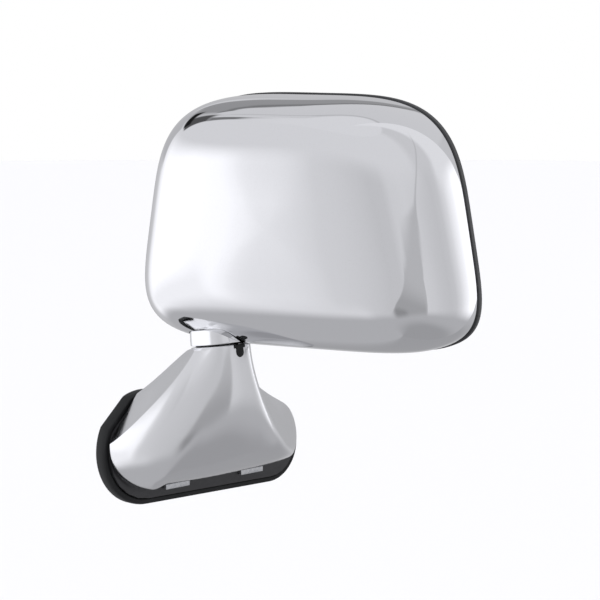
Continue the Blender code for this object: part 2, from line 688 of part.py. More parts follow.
def make_shell():
    """Chrome shell: a deep dome on the head's outline, with bosses inside and a hole for the neck."""
    outline = head_outline(count=48)
    rings = []
    steps = 12
    for i in range(steps):
        turn = math.radians(90) * i / steps
        reach = math.cos(turn) ** (2 / SHELL_SIDE_POWER)
        rings.append(
            [
                Vector(
                    (
                        HEAD_MIDDLE_X + reach * x,
                        RIM_BACK - shell_drop(reach, reach * z),
                        HEAD_MIDDLE_Z + reach * z,
                    )
                )
                for x, z in outline
            ]
        )
    tip = Vector((HEAD_MIDDLE_X, RIM_BACK - shell_drop(0, 0), HEAD_MIDDLE_Z))
    shell = loft(rings, pole=tip)
    thicken(shell, SHELL_WALL)
    for x, z in BOSS_SPOTS:
        place = (HEAD_MIDDLE_X + x * MM, -(HEAD_MIDDLE_Z + z * MM))
        front = shell_front(x * MM, z * MM) + 1.3 * MM
        join(shell, cylinder(4.5 * MM, front, BRACKET_FRONT - GAP, place, 16, ALONG_Y))
    for x, z in BOSS_SPOTS:
        place = (HEAD_MIDDLE_X + x * MM, -(HEAD_MIDDLE_Z + z * MM))
        cut(shell, cylinder(2.1 * MM, -25 * MM, 0, place, 12, ALONG_Y))
    hole, sweep = (NECK_HALF + 0.1 * MM, NECK_POWER, COLLAR_TOP + 8 * MM), (SWEEP_RADIUS, 2, NECK_TOP + GAP)
    for half, power, top in (hole, sweep):
        rings = [neck_ring(half, z, 40, power) for z in (NECK_TOP - 8 * MM, top)]
        tool = loft(rings, cap_first=True, cap_last=True)
        tool.data.transform(HEAD.matrix_world.inverted())
        cut(shell, tool)
    return adopt(shell, "housing_shell", CHROME, HEAD)


def make_bezel():
    """Black frame that closes the shell's rim and runs into it as a skirt round the glass."""
    section = (
        (0.2, 31.4), (-0.7, 32.4), (-0.7, 36.2), (0.4, 37.6), (2.0, 38.0), (7.4, 38.0), (9.0, 36.6),
        (9.0, 21.5), (7.2, 21.5), (7.2, 31.4),
    )
    rings = [head_ring(head_outline(inset * MM), y * MM) for inset, y in section]
    return adopt(loft(rings, closed=True), "bezel", BLACK_PLASTIC, HEAD)


def make_shell_screws():
    base = BRACKET_BACK + GAP
    for number, (x, z) in enumerate(BOSS_SPOTS, 1):
        place = (HEAD_MIDDLE_X + x * MM, -(HEAD_MIDDLE_Z + z * MM))
        screw = cylinder(3.8 * MM, base, base + 2.4 * MM, place, 14, ALONG_Y)
        join(screw, cylinder(1.7 * MM, -24 * MM, base + 1 * MM, place, 10, ALONG_Y))
        adopt(screw, f"shell_screw_{number}", PASSIVATED, HEAD)


# ---------------------------------------------------------------- glass and its ball joint


def arc(radius, first, last, steps):
    """(radius, height) along a circle, with the angle measured from the top, in degrees."""
    angles = [math.radians(first + (last - first) * i / steps) for i in range(steps + 1)]
    return [(radius * math.sin(a), radius * math.cos(a)) for a in angles]


def make_ball_stud():
    """Steel ball on a flanged stud, screwed to the bracket. Its local Z is the head's Y."""
    neck = 3.5 * MM
    flange = BRACKET_BACK + GAP - BALL_Y
    neck_angle = 180 - math.degrees(math.asin(neck / BALL_RADIUS))
    profile = [(0, BALL_RADIUS)] + arc(BALL_RADIUS, 15, neck_angle, 10)
    profile += [
        (neck, flange + 2 * MM), (7 * MM, flange + 2 * MM), (7 * MM, flange), (3 * MM, flange),
        (3 * MM, flange - 12 * MM), (0, flange - 12 * MM),
    ]
    stud = turned(profile)
    stud.matrix_world = Matrix.Translation((HEAD_MIDDLE_X, BALL_Y, HEAD_MIDDLE_Z)) @ ALONG_Y
    adopt(stud, "ball_stud", STEEL, HEAD)
    nut_back = BRACKET_FRONT - GAP
    nut = cylinder(5.8 * MM, nut_back - 4.5 * MM, nut_back, (HEAD_MIDDLE_X, -HEAD_MIDDLE_Z), 6, ALONG_Y)
    cut(nut, cylinder(3.4 * MM, -30 * MM, 0, (HEAD_MIDDLE_X, -HEAD_MIDDLE_Z), 16, ALONG_Y))
    adopt(nut, "ball_stud_nut", PASSIVATED, HEAD)


def make_liner():
    """Nylon cup between ball and socket, which pans with the glass but doesn't tilt with it."""
    outer, inner = arc(LINER_OUTER, 40, 132, 10), arc(LINER_INNER, 132, 40, 10)
    liner = turned(outer + inner, closed=True)
    liner.matrix_world = ALONG_Y
    adopt(liner, "ball_liner", NYLON, GIMBAL)


def rounded_box(half_x, half_z, radius, steps=4):
    """A rectangle with round corners in (X, Z), counter-clockwise."""
    points = []
    for quarter, (sx, sz) in enumerate(((1, 1), (-1, 1), (-1, -1), (1, -1))):
        for i in range(steps + 1):
            angle = math.radians(90 * quarter + 90 * i / steps)
            points.append(
                (
                    sx * (half_x - radius) + radius * math.cos(angle),
                    sz * (half_z - radius) + radius * math.sin(angle),
                )
            )
    return points


RETAINER_BOLTS = [
    (13.2 * MM * math.sin(math.radians(120 * i)), 13.2 * MM * math.cos(math.radians(120 * i))) for i in range(3)
]


def make_carrier():
    """Black plate behind the glass with the socket's boss in its middle."""
    back, front = GLASS_FACE - GLASS_THICK - 2 * GAP - 1.0 * MM - BALL_Y, 11 * MM
    carrier = prism(head_outline(GLASS_INSET + 4 * MM, 40), -back, -front, SIDE_PLANE)
    boss_front = -2 * MM
    join(carrier, cylinder(17 * MM, boss_front, front + 1.2 * MM, (0, 0), 32, ALONG_Y))
    socket = turned(arc(SOCKET_RADIUS, 0, 180, 12))
    socket.matrix_world = ALONG_Y
    mouth = SOCKET_RADIUS - 0.05 * MM
    cut(carrier, socket, cylinder(mouth, boss_front - 3 * MM, 0, (0, 0), 24, ALONG_Y))
    for x, z in RETAINER_BOLTS:
        cut(carrier, cylinder(1.7 * MM, -9 * MM, 5 * MM, (x, -z), 10, ALONG_Y))
    adopt(carrier, "glass_carrier", BLACK_PLASTIC, GLASS)


def make_retainer():
    """Sprung plate that keeps the liner in the socket, with its three screws and springs."""
    low, high = -5.4 * MM, -2.4 * MM
    profile = ((10.1 * MM, high), (16.6 * MM, high), (16.6 * MM, low), (8.9 * MM, low))
    plate = turned(profile, 30, closed=True)
    plate.matrix_world = ALONG_Y
    for x, z in RETAINER_BOLTS:
        cut(plate, cylinder(1.7 * MM, -9 * MM, 0, (x, -z), 10, ALONG_Y))
    adopt(plate, "socket_retainer", STEEL, GLASS)
    spring_low = low - GAP - 5.2 * MM
    for number, (x, z) in enumerate(RETAINER_BOLTS, 1):
        place = Matrix.Translation((x, 0, z)) @ ALONG_Y
        spring = coil(2.6 * MM, 0.7 * MM, spring_low, low - GAP, 4, 8, place)
        adopt(spring, f"retainer_spring_{number}", STEEL, GLASS)
        head_high = spring_low - GAP
        screw = cylinder(3.1 * MM, head_high - 1.8 * MM, head_high, (x, -z), 12, ALONG_Y)
        join(screw, cylinder(1.35 * MM, head_high - 1 * MM, 4 * MM, (x, -z), 8, ALONG_Y))
        adopt(screw, f"retainer_screw_{number}", PASSIVATED, GLASS)


def make_glass():
    """Flat silvered glass and the foam pad that bonds it to its carrier."""
    face = GLASS_FACE - BALL_Y
    back = face - GLASS_THICK
    outline = head_outline(GLASS_INSET, 48)
    adopt(prism(outline, -face, -back, SIDE_PLANE), "mirror_glass", SILVERED, GLASS)
    pad = rounded_box(62 * MM, 46 * MM, 12 * MM)
    adopt(prism(pad, -(back - GAP), -(back - GAP - 1.0 * MM), SIDE_PLANE), "bonding_pad", FOAM, GLASS)


# ---------------------------------------------------------------- assembly

clear_scene()
PARTS = new_collection("door_mirror")
TOOLS = new_collection("tools")

axis_foot = Matrix.Translation((PIVOT_X, PIVOT_Y, NECK_TOP))
NECK_PLACE = axis_foot @ Matrix.Rotation(-NECK_LEAN, 4, "Y") @ Matrix.Translation((0, 0, -NECK_TOP))
PIVOT = new_frame("pivot_frame", NECK_PLACE)
head_middle = Matrix.Translation((HEAD_MIDDLE_X, 0, HEAD_MIDDLE_Z))
rolled = head_middle @ Matrix.Rotation(HEAD_ROLL, 4, "Y") @ head_middle.inverted()
HEAD = new_frame(
    "head_frame", Matrix.Translation((PIVOT_X, PIVOT_Y, 0)) @ Matrix.Rotation(HEAD_YAW, 4, "Z") @ rolled
)
ball_place = HEAD.matrix_world @ Matrix.Translation((HEAD_MIDDLE_X, BALL_Y, HEAD_MIDDLE_Z))
GIMBAL = new_frame("gimbal_frame", ball_place)
GLASS = new_frame("glass_frame", ball_place)

make_gasket()
make_foot_bracket()
make_foot_cover()
make_notch_plug()
make_clips()
make_mounting_screws()
make_fold_pivot()
make_neck()
make_head_bracket()
make_shell()
make_bezel()
make_shell_screws()
make_ball_stud()
make_liner()
make_carrier()
make_retainer()
make_glass()
bpy.context.view_layer.update()
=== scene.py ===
"""Looks of the folding door mirror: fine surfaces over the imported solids, materials, studio and camera.

Every piece is modelled in the frame of the solids, in metres, with the object at rest. The chrome, rubber
and glass pieces are the same shapes as their solids, drawn with many more points.
"""

import bisect
import json
import math

import bmesh
import bpy
from mathutils import Matrix, Vector


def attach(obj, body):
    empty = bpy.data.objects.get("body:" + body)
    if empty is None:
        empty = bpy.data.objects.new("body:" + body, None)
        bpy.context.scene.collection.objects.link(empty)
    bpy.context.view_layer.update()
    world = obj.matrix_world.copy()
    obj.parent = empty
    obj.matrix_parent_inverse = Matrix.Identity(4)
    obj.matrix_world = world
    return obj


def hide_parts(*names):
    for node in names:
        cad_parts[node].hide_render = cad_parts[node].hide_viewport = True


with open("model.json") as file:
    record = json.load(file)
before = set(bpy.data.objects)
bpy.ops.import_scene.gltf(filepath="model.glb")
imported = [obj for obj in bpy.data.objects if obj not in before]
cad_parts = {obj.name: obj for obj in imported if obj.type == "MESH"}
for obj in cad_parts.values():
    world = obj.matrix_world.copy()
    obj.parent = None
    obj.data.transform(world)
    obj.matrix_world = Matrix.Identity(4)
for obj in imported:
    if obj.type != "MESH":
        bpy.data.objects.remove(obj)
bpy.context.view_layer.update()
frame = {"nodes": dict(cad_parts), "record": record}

MM = 0.001
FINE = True

# ---------------------------------------------------------------- the object's dimensions

# Foot. Each outline is a band round two circles, front and rear: (Y, Z, radius).
GASKET_ENDS = ((-52 * MM, -3.8 * MM, 35.6 * MM), (53 * MM, -16.2 * MM, 24.7 * MM))
COVER_ENDS = ((-54.6 * MM, 2 * MM, 30.6 * MM), (51 * MM, -5 * MM, 18.2 * MM))
COVER_LIFT = 3 * MM  # of the cover's lower edge, over the clips
LIP_WIDTH = 3.5 * MM
GASKET_FLOOR, GASKET_LIP = 4.5 * MM, 7.4 * MM
PLATE_FRONT = 8.4 * MM
COVER_EDGE = 10.0 * MM
COVER_WALL = 2.2 * MM
FACET_WAY, FACET_REACH = Vector((-0.2855, -0.755, 0.590)).normalized(), 63.2 * MM  # flat on the cover's front
TOE_START, TOE_SPAN = 0.64, 0.12  # as shares of the way round, where the roof turns into the toe
FLAT_WAY, FLAT_DEPTH = math.radians(133), 2.2 * MM  # straight stretch in the outline's front circle
MOUNT_SPOTS = ((-64, -4), (0, -8), (56, -12))  # (Y, Z) of the screws into the door, in millimetres
SCREW_HOLE = 3.6 * MM
CLIP_SPOTS = ((-31.4, 19.6), (32.3, 19.2))  # (Y of the middle, length), in millimetres
CLIP_LOW, CLIP_HIGH = -31.3 * MM, -28.1 * MM

# Neck and fold pivot.
PIVOT_X, PIVOT_Y = 58 * MM, -38 * MM
NECK_HALF = 16.5 * MM
NECK_POWER = 2.6
CORNER_CHANGE = (-0.6, -0.6, 1.6, 0)  # of that power, corner by corner, by the middle of the cover
NECK_TOP = 63.6 * MM  # on the fold axis, which leans towards the door
NECK_LEAN = math.radians(8)
ROOF_HOLE = 12.5 * MM
NOTCH_HALF, NOTCH_DEPTH = 2.9 * MM, 5 * MM
SEAL_THICK, SEAL_RADIUS = 0.4 * MM, 15 * MM
GAP = 0.3 * MM  # between two pieces that touch
SWEEP_RADIUS = 18.6 * MM  # of the flat on the shell's underside that clears the cover as the head folds
COLLAR_TOP = 73.6 * MM
HUB_TOP, SPRING_SEAT, SPRING_TOP = 81 * MM, 1.2 * MM, 103 * MM

# Head, in its own frame.
HEAD_YAW, HEAD_ROLL = math.radians(20), math.radians(0.5)
HEAD_MIDDLE_X, HEAD_MIDDLE_Z = 49.7 * MM, 138 * MM
HEAD_HALF_WIDTH, HEAD_HALF_HEIGHT = 96.4 * MM, 75.2 * MM
HEAD_TAPER = 0.18  # half width lost for each unit of height
CORNER_POWERS = ((3.8, 4.25), (4.85, 4.3))  # top, bottom; each outboard, inboard
RIM_BACK = 31 * MM  # where the chrome shell ends and the bezel's edge shows
SHELL_DEPTH = 66.5 * MM
SHELL_LEAN = 0.11  # depth gained for each unit of height
SHELL_CROWN = 5 * MM
SHELL_SIDE_POWER, SHELL_FACE_POWER = 4.85, 2.85
SHELL_WALL = 2.5 * MM
GLASS_FACE, GLASS_THICK = 27 * MM, 2 * MM
GLASS_INSET = 13 * MM
BALL_Y = 10 * MM
RETAINER_CIRCLE, RETAINER_BACK = 13.2 * MM, -5.4 * MM  # round and behind the ball's centre

axis_foot = Matrix.Translation((PIVOT_X, PIVOT_Y, NECK_TOP))
NECK = axis_foot @ Matrix.Rotation(-NECK_LEAN, 4, "Y") @ Matrix.Translation((0, 0, -NECK_TOP))
head_middle = Matrix.Translation((HEAD_MIDDLE_X, 0, HEAD_MIDDLE_Z))
rolled = head_middle @ Matrix.Rotation(HEAD_ROLL, 4, "Y") @ head_middle.inverted()
HEAD = Matrix.Translation((PIVOT_X, PIVOT_Y, 0)) @ Matrix.Rotation(HEAD_YAW, 4, "Z") @ rolled
BALL = HEAD @ Matrix.Translation((HEAD_MIDDLE_X, BALL_Y, HEAD_MIDDLE_Z))
ALONG_X = Matrix.Rotation(math.radians(90), 4, "Y")
ALONG_Y = Matrix.Rotation(math.radians(-90), 4, "X")

# ---------------------------------------------------------------- material nodes


def fill_ramp(ramp, stops):
    """Gives a colour ramp its (position, colour) stops, in rising order."""
    first, last = ramp.elements
    for element, (position, colour) in ((last, stops[-1]), (first, stops[0])):
        element.position = position
        element.color = (*colour, 1)
    for position, colour in stops[1:-1]:
        ramp.elements.new(position).color = (*colour, 1)


class Look:
    """A material's node tree, with short calls for the nodes that the looks below share."""

    def __init__(self, name, colour, roughness, metallic=0.0):
        self.material = bpy.data.materials.new(name)
        self.material.use_nodes = True
        self.tree = self.material.node_tree
        self.shader = self.tree.nodes["Principled BSDF"]
        self.shader.inputs["Base Color"].default_value = (*colour, 1)
        self.shader.inputs["Roughness"].default_value = roughness
        self.shader.inputs["Metallic"].default_value = metallic
        self.material.diffuse_color = (*colour, 1)
        self.place = self.add("ShaderNodeTexCoord").outputs["Object"]

    def add(self, kind, **settings):
        node = self.tree.nodes.new(kind)
        for key, value in settings.items():
            setattr(node, key, value)
        return node

    def wire(self, out, into):
        self.tree.links.new(out, into)

    def set(self, **values):
        for key, value in values.items():
            self.shader.inputs[key.replace("_", " ")].default_value = value

    def noise(self, scale, detail=3.0, roughness=0.55, stretch=None):
        node = self.add("ShaderNodeTexNoise")
        node.inputs["Scale"].default_value = scale
        node.inputs["Detail"].default_value = detail
        node.inputs["Roughness"].default_value = roughness
        self.wire(self.stretched(stretch), node.inputs["Vector"])
        return node.outputs["Fac"]

    def stretched(self, stretch):
        if stretch is None:
            return self.place
        node = self.add("ShaderNodeMapping")
        node.inputs["Scale"].default_value = stretch
        self.wire(self.place, node.inputs["Vector"])
        return node.outputs["Vector"]

    def cells(self, scale):
        node = self.add("ShaderNodeTexVoronoi")
        node.inputs["Scale"].default_value = scale
        self.wire(self.place, node.inputs["Vector"])
        return node.outputs["Distance"]

    def spread(self, value, low, high, start=0.3, stop=0.7):
        """The value's range from start to stop, spread from low to high."""
        node = self.add("ShaderNodeMapRange", clamp=True)
        for key, number in zip(("From Min", "From Max", "To Min", "To Max"), (start, stop, low, high)):
            node.inputs[key].default_value = number
        self.wire(value, node.inputs["Value"])
        return node.outputs["Result"]

    def colours(self, value, *stops):
        """A colour ramp of (position, colour) stops over the value."""
        node = self.add("ShaderNodeValToRGB")
        fill_ramp(node.color_ramp, stops)
        self.wire(value, node.inputs["Fac"])
        return node.outputs["Color"]

    def bump(self, height, depth, strength=1.0):
        """Adds a relief of the given depth, in metres, on top of the reliefs already there."""
        node = self.add("ShaderNodeBump")
        node.inputs["Strength"].default_value = strength
        node.inputs["Distance"].default_value = depth
        self.wire(height, node.inputs["Height"])
        socket = self.shader.inputs["Normal"]
        if socket.is_linked:
            self.wire(socket.links[0].from_socket, node.inputs["Normal"])
        self.wire(node.outputs["Normal"], socket)

    def rough(self, value):
        self.wire(value, self.shader.inputs["Roughness"])

    def paint(self, value):
        self.wire(value, self.shader.inputs["Base Color"])


def chrome_look(name, sharpest, haziest, wave, height):
    """Bright plating on moulded plastic: almost a mirror, faintly wavy, with a little haze and fine dust."""
    look = Look(name, (0.86, 0.865, 0.885), 0.035, 1.0)
    haze = look.noise(28, 4, 0.6)
    dust = look.noise(2600, 2, 0.7)
    look.rough(look.spread(haze, sharpest, haziest))
    look.paint(look.colours(dust, (0.30, (0.80, 0.80, 0.81)), (0.42, (0.865, 0.87, 0.89))))
    look.bump(look.noise(wave, 2, 0.4), height, 0.1)
    return look.material


def bezel_look():
    """Black moulded plastic with a fine spark-eroded grain, its tone and gloss faintly mottled."""
    look = Look("grained_plastic", (0.022, 0.023, 0.025), 0.45)
    grain = look.cells(1900)
    mottled = look.noise(90, 4)
    look.paint(look.colours(mottled, (0.3, (0.016, 0.017, 0.018)), (0.7, (0.030, 0.031, 0.034))))
    look.rough(look.spread(mottled, 0.38, 0.52))
    look.bump(grain, 0.00008, 0.5)
    look.set(Specular_IOR_Level=0.45)
    return look.material


def rubber_look():
    """Moulded rubber: near black, dull, with the bloom that comes up on its surface."""
    look = Look("gasket_rubber", (0.018, 0.019, 0.020), 0.6)
    bloom = look.noise(45, 5, 0.6)
    fine = look.noise(1500, 3, 0.6)
    look.paint(look.colours(bloom, (0.35, (0.007, 0.0075, 0.008)), (0.72, (0.018, 0.019, 0.020))))
    look.rough(look.spread(bloom, 0.42, 0.62))
    look.bump(fine, 0.00005, 0.5)
    look.set(Specular_IOR_Level=0.24, Sheen_Weight=0.02, Sheen_Roughness=0.4)
    return look.material


def cast_look(name, dark, light, roughness, metallic):
    """A die casting: flow marks, a pebbled skin and small pits."""
    look = Look(name, light, roughness, metallic)
    flow = look.noise(60, 5, 0.65, (1, 1, 2.5))
    skin = look.noise(900, 4, 0.6)
    pits = look.cells(500)
    look.paint(look.colours(flow, (0.3, dark), (0.7, light)))
    look.rough(look.spread(flow, roughness - 0.08, roughness + 0.1))
    look.bump(skin, 0.00012, 0.45)
    look.bump(look.spread(pits, 0, 1, 0.05, 0.3), 0.00006, 0.3)
    return look.material


def steel_look():
    """Clear zinc on steel: cool grey with a faint spangle and drawing lines."""
    look = Look("zinc_steel", (0.60, 0.61, 0.63), 0.3, 1.0)
    spangle = look.cells(420)
    lines = look.noise(400, 3, 0.6, (1, 1, 12))
    look.paint(look.colours(spangle, (0.1, (0.53, 0.545, 0.57)), (0.8, (0.66, 0.665, 0.68))))
    look.rough(look.spread(lines, 0.22, 0.38))
    look.bump(lines, 0.00003, 0.4)
    return look.material


def passivated_look():
    """Yellow passivated zinc: straw to olive with pink patches, as the film's thickness changes."""
    look = Look("passivated_zinc", (0.62, 0.55, 0.33), 0.35, 1.0)
    film = look.noise(170, 4, 0.6)
    look.paint(
        look.colours(
            film, (0.30, (0.66, 0.60, 0.42)), (0.45, (0.70, 0.58, 0.28)),
            (0.58, (0.62, 0.52, 0.36)), (0.72, (0.50, 0.55, 0.34)),
        )
    )
    look.rough(look.spread(look.noise(700, 3), 0.28, 0.44))
    look.bump(look.noise(1300, 2), 0.00003, 0.4)
    return look.material


def nylon_look():
    """Natural nylon: milky, waxy and faintly clouded."""
    look = Look("natural_nylon", (0.82, 0.80, 0.72), 0.42)
    cloud = look.noise(120, 3)
    look.paint(look.colours(cloud, (0.3, (0.78, 0.755, 0.66)), (0.7, (0.86, 0.84, 0.77))))
    look.rough(look.spread(cloud, 0.34, 0.5))
    look.bump(look.noise(1100, 2), 0.00003, 0.3)
    look.set(Subsurface_Weight=0.15, Subsurface_Scale=0.002)
    return look.material


def foam_look():
    """Closed-cell foam: dark, with open cells where it was cut, whose hollows carry painted shade."""
    look = Look("cell_foam", (0.1, 0.1, 0.1), 0.95)
    pores_and_shade = look.cells(1400)
    # painted shade: the colour darkens towards the middle of each cell, where the bump sinks its pit deepest
    look.paint(look.colours(pores_and_shade, (0.15, (0.03, 0.03, 0.03)), (0.5, (0.14, 0.14, 0.14))))
    look.bump(pores_and_shade, 0.0003, 0.9)
    return look.material


def silver_look():
    """Silvered flat glass: a clean mirror with the least trace of wiping."""
    look = Look("silvered_glass", (0.90, 0.925, 0.93), 0.01, 1.0)
    wiped = look.noise(30, 4, 0.65, (1, 1, 4))
    look.rough(look.spread(wiped, 0.006, 0.03, 0.45, 0.8))
    look.set(Coat_Weight=0.4, Coat_Roughness=0.02)
    return look.material


def glass_edge_look():
    """The ground edge of the glass: frosted and grey-green."""
    look = Look("ground_glass_edge", (0.32, 0.40, 0.38), 0.4)
    look.rough(look.spread(look.noise(1800, 3), 0.3, 0.55))
    look.paint(look.colours(look.noise(300, 3), (0.3, (0.26, 0.33, 0.31)), (0.7, (0.38, 0.47, 0.45))))
    look.set(Specular_IOR_Level=0.7)
    return look.material


CHROME = chrome_look("chrome_plate", 0.018, 0.05, 36, 0.00002)
FOOT_CHROME = chrome_look("foot_chrome_plate", 0.12, 0.20, 42, 0.0016)
GRAINED = bezel_look()
RUBBER = rubber_look()
BLACK_CAST = cast_look("painted_casting", (0.018, 0.018, 0.020), (0.036, 0.036, 0.039), 0.42, 0.0)
BARE_CAST = cast_look("bare_casting", (0.40, 0.41, 0.43), (0.54, 0.55, 0.57), 0.42, 1.0)
STEEL = steel_look()
PASSIVATED = passivated_look()
NYLON = nylon_look()
FOAM = foam_look()
SILVER = silver_look()
GLASS_EDGE = glass_edge_look()

LOOK_OF_SLOT = {
    "chrome": CHROME,
    "rubber": RUBBER,
    "black_cast": BLACK_CAST,
    "bare_cast": BARE_CAST,
    "black_plastic": GRAINED,
    "nylon": NYLON,
    "foam": FOAM,
    "silvered_glass": SILVER,
    "bright_steel": STEEL,
    "passivated_steel": PASSIVATED,
}

# ---------------------------------------------------------------- mesh helpers


def finish_piece(obj, name, body, nodes, slot, *materials, angle=35):
    """Names a piece, smooths it, gives it its materials, and hangs it on its body in place of its nodes."""
    obj.name = name
    obj.data.name = name
    obj.data.materials.clear()
    for material in materials:
        obj.data.materials.append(material)
    obj.data.shade_smooth()
    obj.data.set_sharp_from_angle(angle=math.radians(angle))
    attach(obj, body)
    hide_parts(*nodes)
    return obj


def linked(mesh):
    obj = bpy.data.objects.new("piece", mesh)
    bpy.context.scene.collection.objects.link(obj)
    return obj


def mesh_from(work):
    """An object from a bmesh, with its faces pointing out."""
    bmesh.ops.recalc_face_normals(work, faces=work.faces)
    middle = sum((vert.co for vert in work.verts), Vector()) / len(work.verts)
    outward = sum(
        face.normal.dot(face.calc_center_median() - middle) * face.calc_area() for face in work.faces
    )
    if outward < 0:
        bmesh.ops.reverse_faces(work, faces=work.faces)
    mesh = bpy.data.meshes.new("piece")
    work.to_mesh(mesh)
    work.free()
    return linked(mesh)


def loft(rings, closed=False, cap_first=False, cap_last=False, pole=None):
    """A surface through rings of equally many points, each running round the same way."""
    work = bmesh.new()
    rows = [[work.verts.new(point) for point in ring] for ring in rings]
    pairs = list(zip(rows, rows[1:]))
    if closed:
        pairs.append((rows[-1], rows[0]))
    for first, second in pairs:
        for i in range(len(first)):
            j = (i + 1) % len(first)
            work.faces.new((first[i], first[j], second[j], second[i]))
    if cap_first:
        work.faces.new(list(reversed(rows[0])))
    if cap_last:
        work.faces.new(rows[-1])
    if pole is not None:
        tip = work.verts.new(pole)
        for i in range(len(rows[-1])):
            work.faces.new((rows[-1][i], rows[-1][(i + 1) % len(rows[-1])], tip))
    return mesh_from(work)


def solid(rings):
    """A closed solid through the rings, flat at both ends."""
    return loft(rings, cap_first=True, cap_last=True)


def circle(radius, z, place, sides):
    """Points round a circle square to its own Z, set in place."""
    turns = [2 * math.pi * i / sides for i in range(sides)]
    return [place @ Vector((radius * math.cos(a), radius * math.sin(a), z)) for a in turns]


def tube(radius, low, high, place, sides=48):
    """A solid cylinder along its own Z, set in place."""
    return solid([circle(radius, z, place, sides) for z in (low, high)])


def applied(obj):
    """The object with its modifiers made part of its mesh."""
    bpy.context.view_layer.update()
    graph = bpy.context.evaluated_depsgraph_get()
    mesh = bpy.data.meshes.new_from_object(obj.evaluated_get(graph))
    obj.modifiers.clear()
    obj.data = mesh
    return obj


def trimmed(obj, *tools, operation="DIFFERENCE"):
    """The object less its tools, or joined with them, by Booleans that are applied at once."""
    for tool in tools:
        modifier = obj.modifiers.new("tool", "BOOLEAN")
        modifier.operation = operation
        modifier.object = tool
    applied(obj)
    for tool in tools:
        bpy.data.objects.remove(tool, do_unlink=True)
    return obj


def rounded(obj, width, segments=3, angle=30):
    modifier = obj.modifiers.new("edge", "BEVEL")
    modifier.width = width
    modifier.segments = segments
    modifier.limit_method = "ANGLE"
    modifier.angle_limit = math.radians(angle)
    return applied(obj)


def eased(share):
    """Goes softly from 0 to 1 with the share, and no further."""
    share = min(max(share, 0), 1)
    return share * share * (3 - 2 * share)


def arc_steps(first, last, count):
    return [math.radians(first + (last - first) * i / count) for i in range(count + 1)]


# ---------------------------------------------------------------- outlines


def foot_outline(ends, inset=0.0, steps=48):
    """A band round two circles in (Y, Z), counter-clockwise from the bottom of the rear circle."""
    (front_y, front_z, front_r), (rear_y, rear_z, rear_r) = ends
    span = math.dist((front_y, front_z), (rear_y, rear_z))
    tilt = math.atan2(rear_z - front_z, rear_y - front_y)
    lean = math.asin((front_r - rear_r) / span)
    low, high = tilt - math.pi / 2 + lean, tilt + math.pi / 2 - lean
    points = []
    for y, z, radius, start, stop in (
        (rear_y, rear_z, rear_r - inset, low, high),
        (front_y, front_z, front_r - inset, high, low + 2 * math.pi),
    ):
        for i in range(steps + 1):
            angle = start + (stop - start) * i / steps
            past = radius * math.cos(angle - FLAT_WAY) - (radius - FLAT_DEPTH) if y == front_y else 0
            pull = max(past, 0)
            points.append((
                y + radius * math.cos(angle) - pull * math.cos(FLAT_WAY),
                z + radius * math.sin(angle) - pull * math.sin(FLAT_WAY),
            ))
    return points


def along(points, shares, start):
    """The points at the given shares of the way round a closed outline, from the point at distance start."""
    closed = points + [points[0]]
    marks = [0.0]
    for a, b in zip(closed, closed[1:]):
        marks.append(marks[-1] + math.dist(a, b))
    found = []
    for share in shares:
        left = (start + marks[-1] * share) % marks[-1]
        i = min(bisect.bisect_right(marks, left), len(closed) - 1)
        a, b = closed[i - 1], closed[i]
        part = (left - marks[i - 1]) / (marks[i] - marks[i - 1])
        found.append((a[0] + part * (b[0] - a[0]), a[1] + part * (b[1] - a[1])))
    return found


def even_shares(count):
    return [i / count for i in range(count)]


def neck_outline(half, shares, power=NECK_POWER, change=0):
    """A square with very round sides, from the outboard side towards the rear."""
    points = []
    for share in shares:
        c, s = math.cos(2 * math.pi * share), math.sin(2 * math.pi * share)
        corner = NECK_POWER + change * CORNER_CHANGE[int(4 * share)] if change else power
        reach = half / (abs(c) ** corner + abs(s) ** corner) ** (1 / corner)
        points.append((reach * c, reach * s))
    return points


def neck_ring(half, z, shares, power=NECK_POWER):
    return [NECK @ Vector((x, y, z)) for x, y in neck_outline(half, shares, power)]


def corner_power(x, z):
    """How square the outline's corner is on that side; it changes where the outline crosses an axis."""
    return CORNER_POWERS[0 if z > 0 else 1][0 if x > 0 else 1]


def head_outline(inset=0.0, count=240):
    """The head's outline in (X, Z) from its middle: a tapered superellipse, counter-clockwise."""
    points = []
    for i in range(count):
        c = math.cos(2 * math.pi * i / count)
        s = math.sin(2 * math.pi * i / count)
        power = corner_power(c, s)
        z = math.copysign(abs(s) ** (2 / power), s) * (HEAD_HALF_HEIGHT - inset)
        half_width = HEAD_HALF_WIDTH - HEAD_TAPER * z - inset
        points.append((math.copysign(abs(c) ** (2 / power), c) * half_width, z))
    return points


def head_ring(points, y):
    return [HEAD @ Vector((HEAD_MIDDLE_X + x, y, HEAD_MIDDLE_Z + z)) for x, z in points]


def shell_drop(reach, z):
    """How far the chrome face stands in front of the rim, at a share reach of the way to the outline."""
    face = (1 - reach**SHELL_SIDE_POWER) ** (1 / SHELL_FACE_POWER)
    return (SHELL_DEPTH + SHELL_LEAN * z) * face + SHELL_CROWN * (1 - reach**2)


# ---------------------------------------------------------------- foot


def screw_place(y, z):
    """Where a screw into the door lies, with its axis outboard; the spot is in millimetres."""
    return Matrix.Translation((0, y * MM, z * MM)) @ ALONG_X


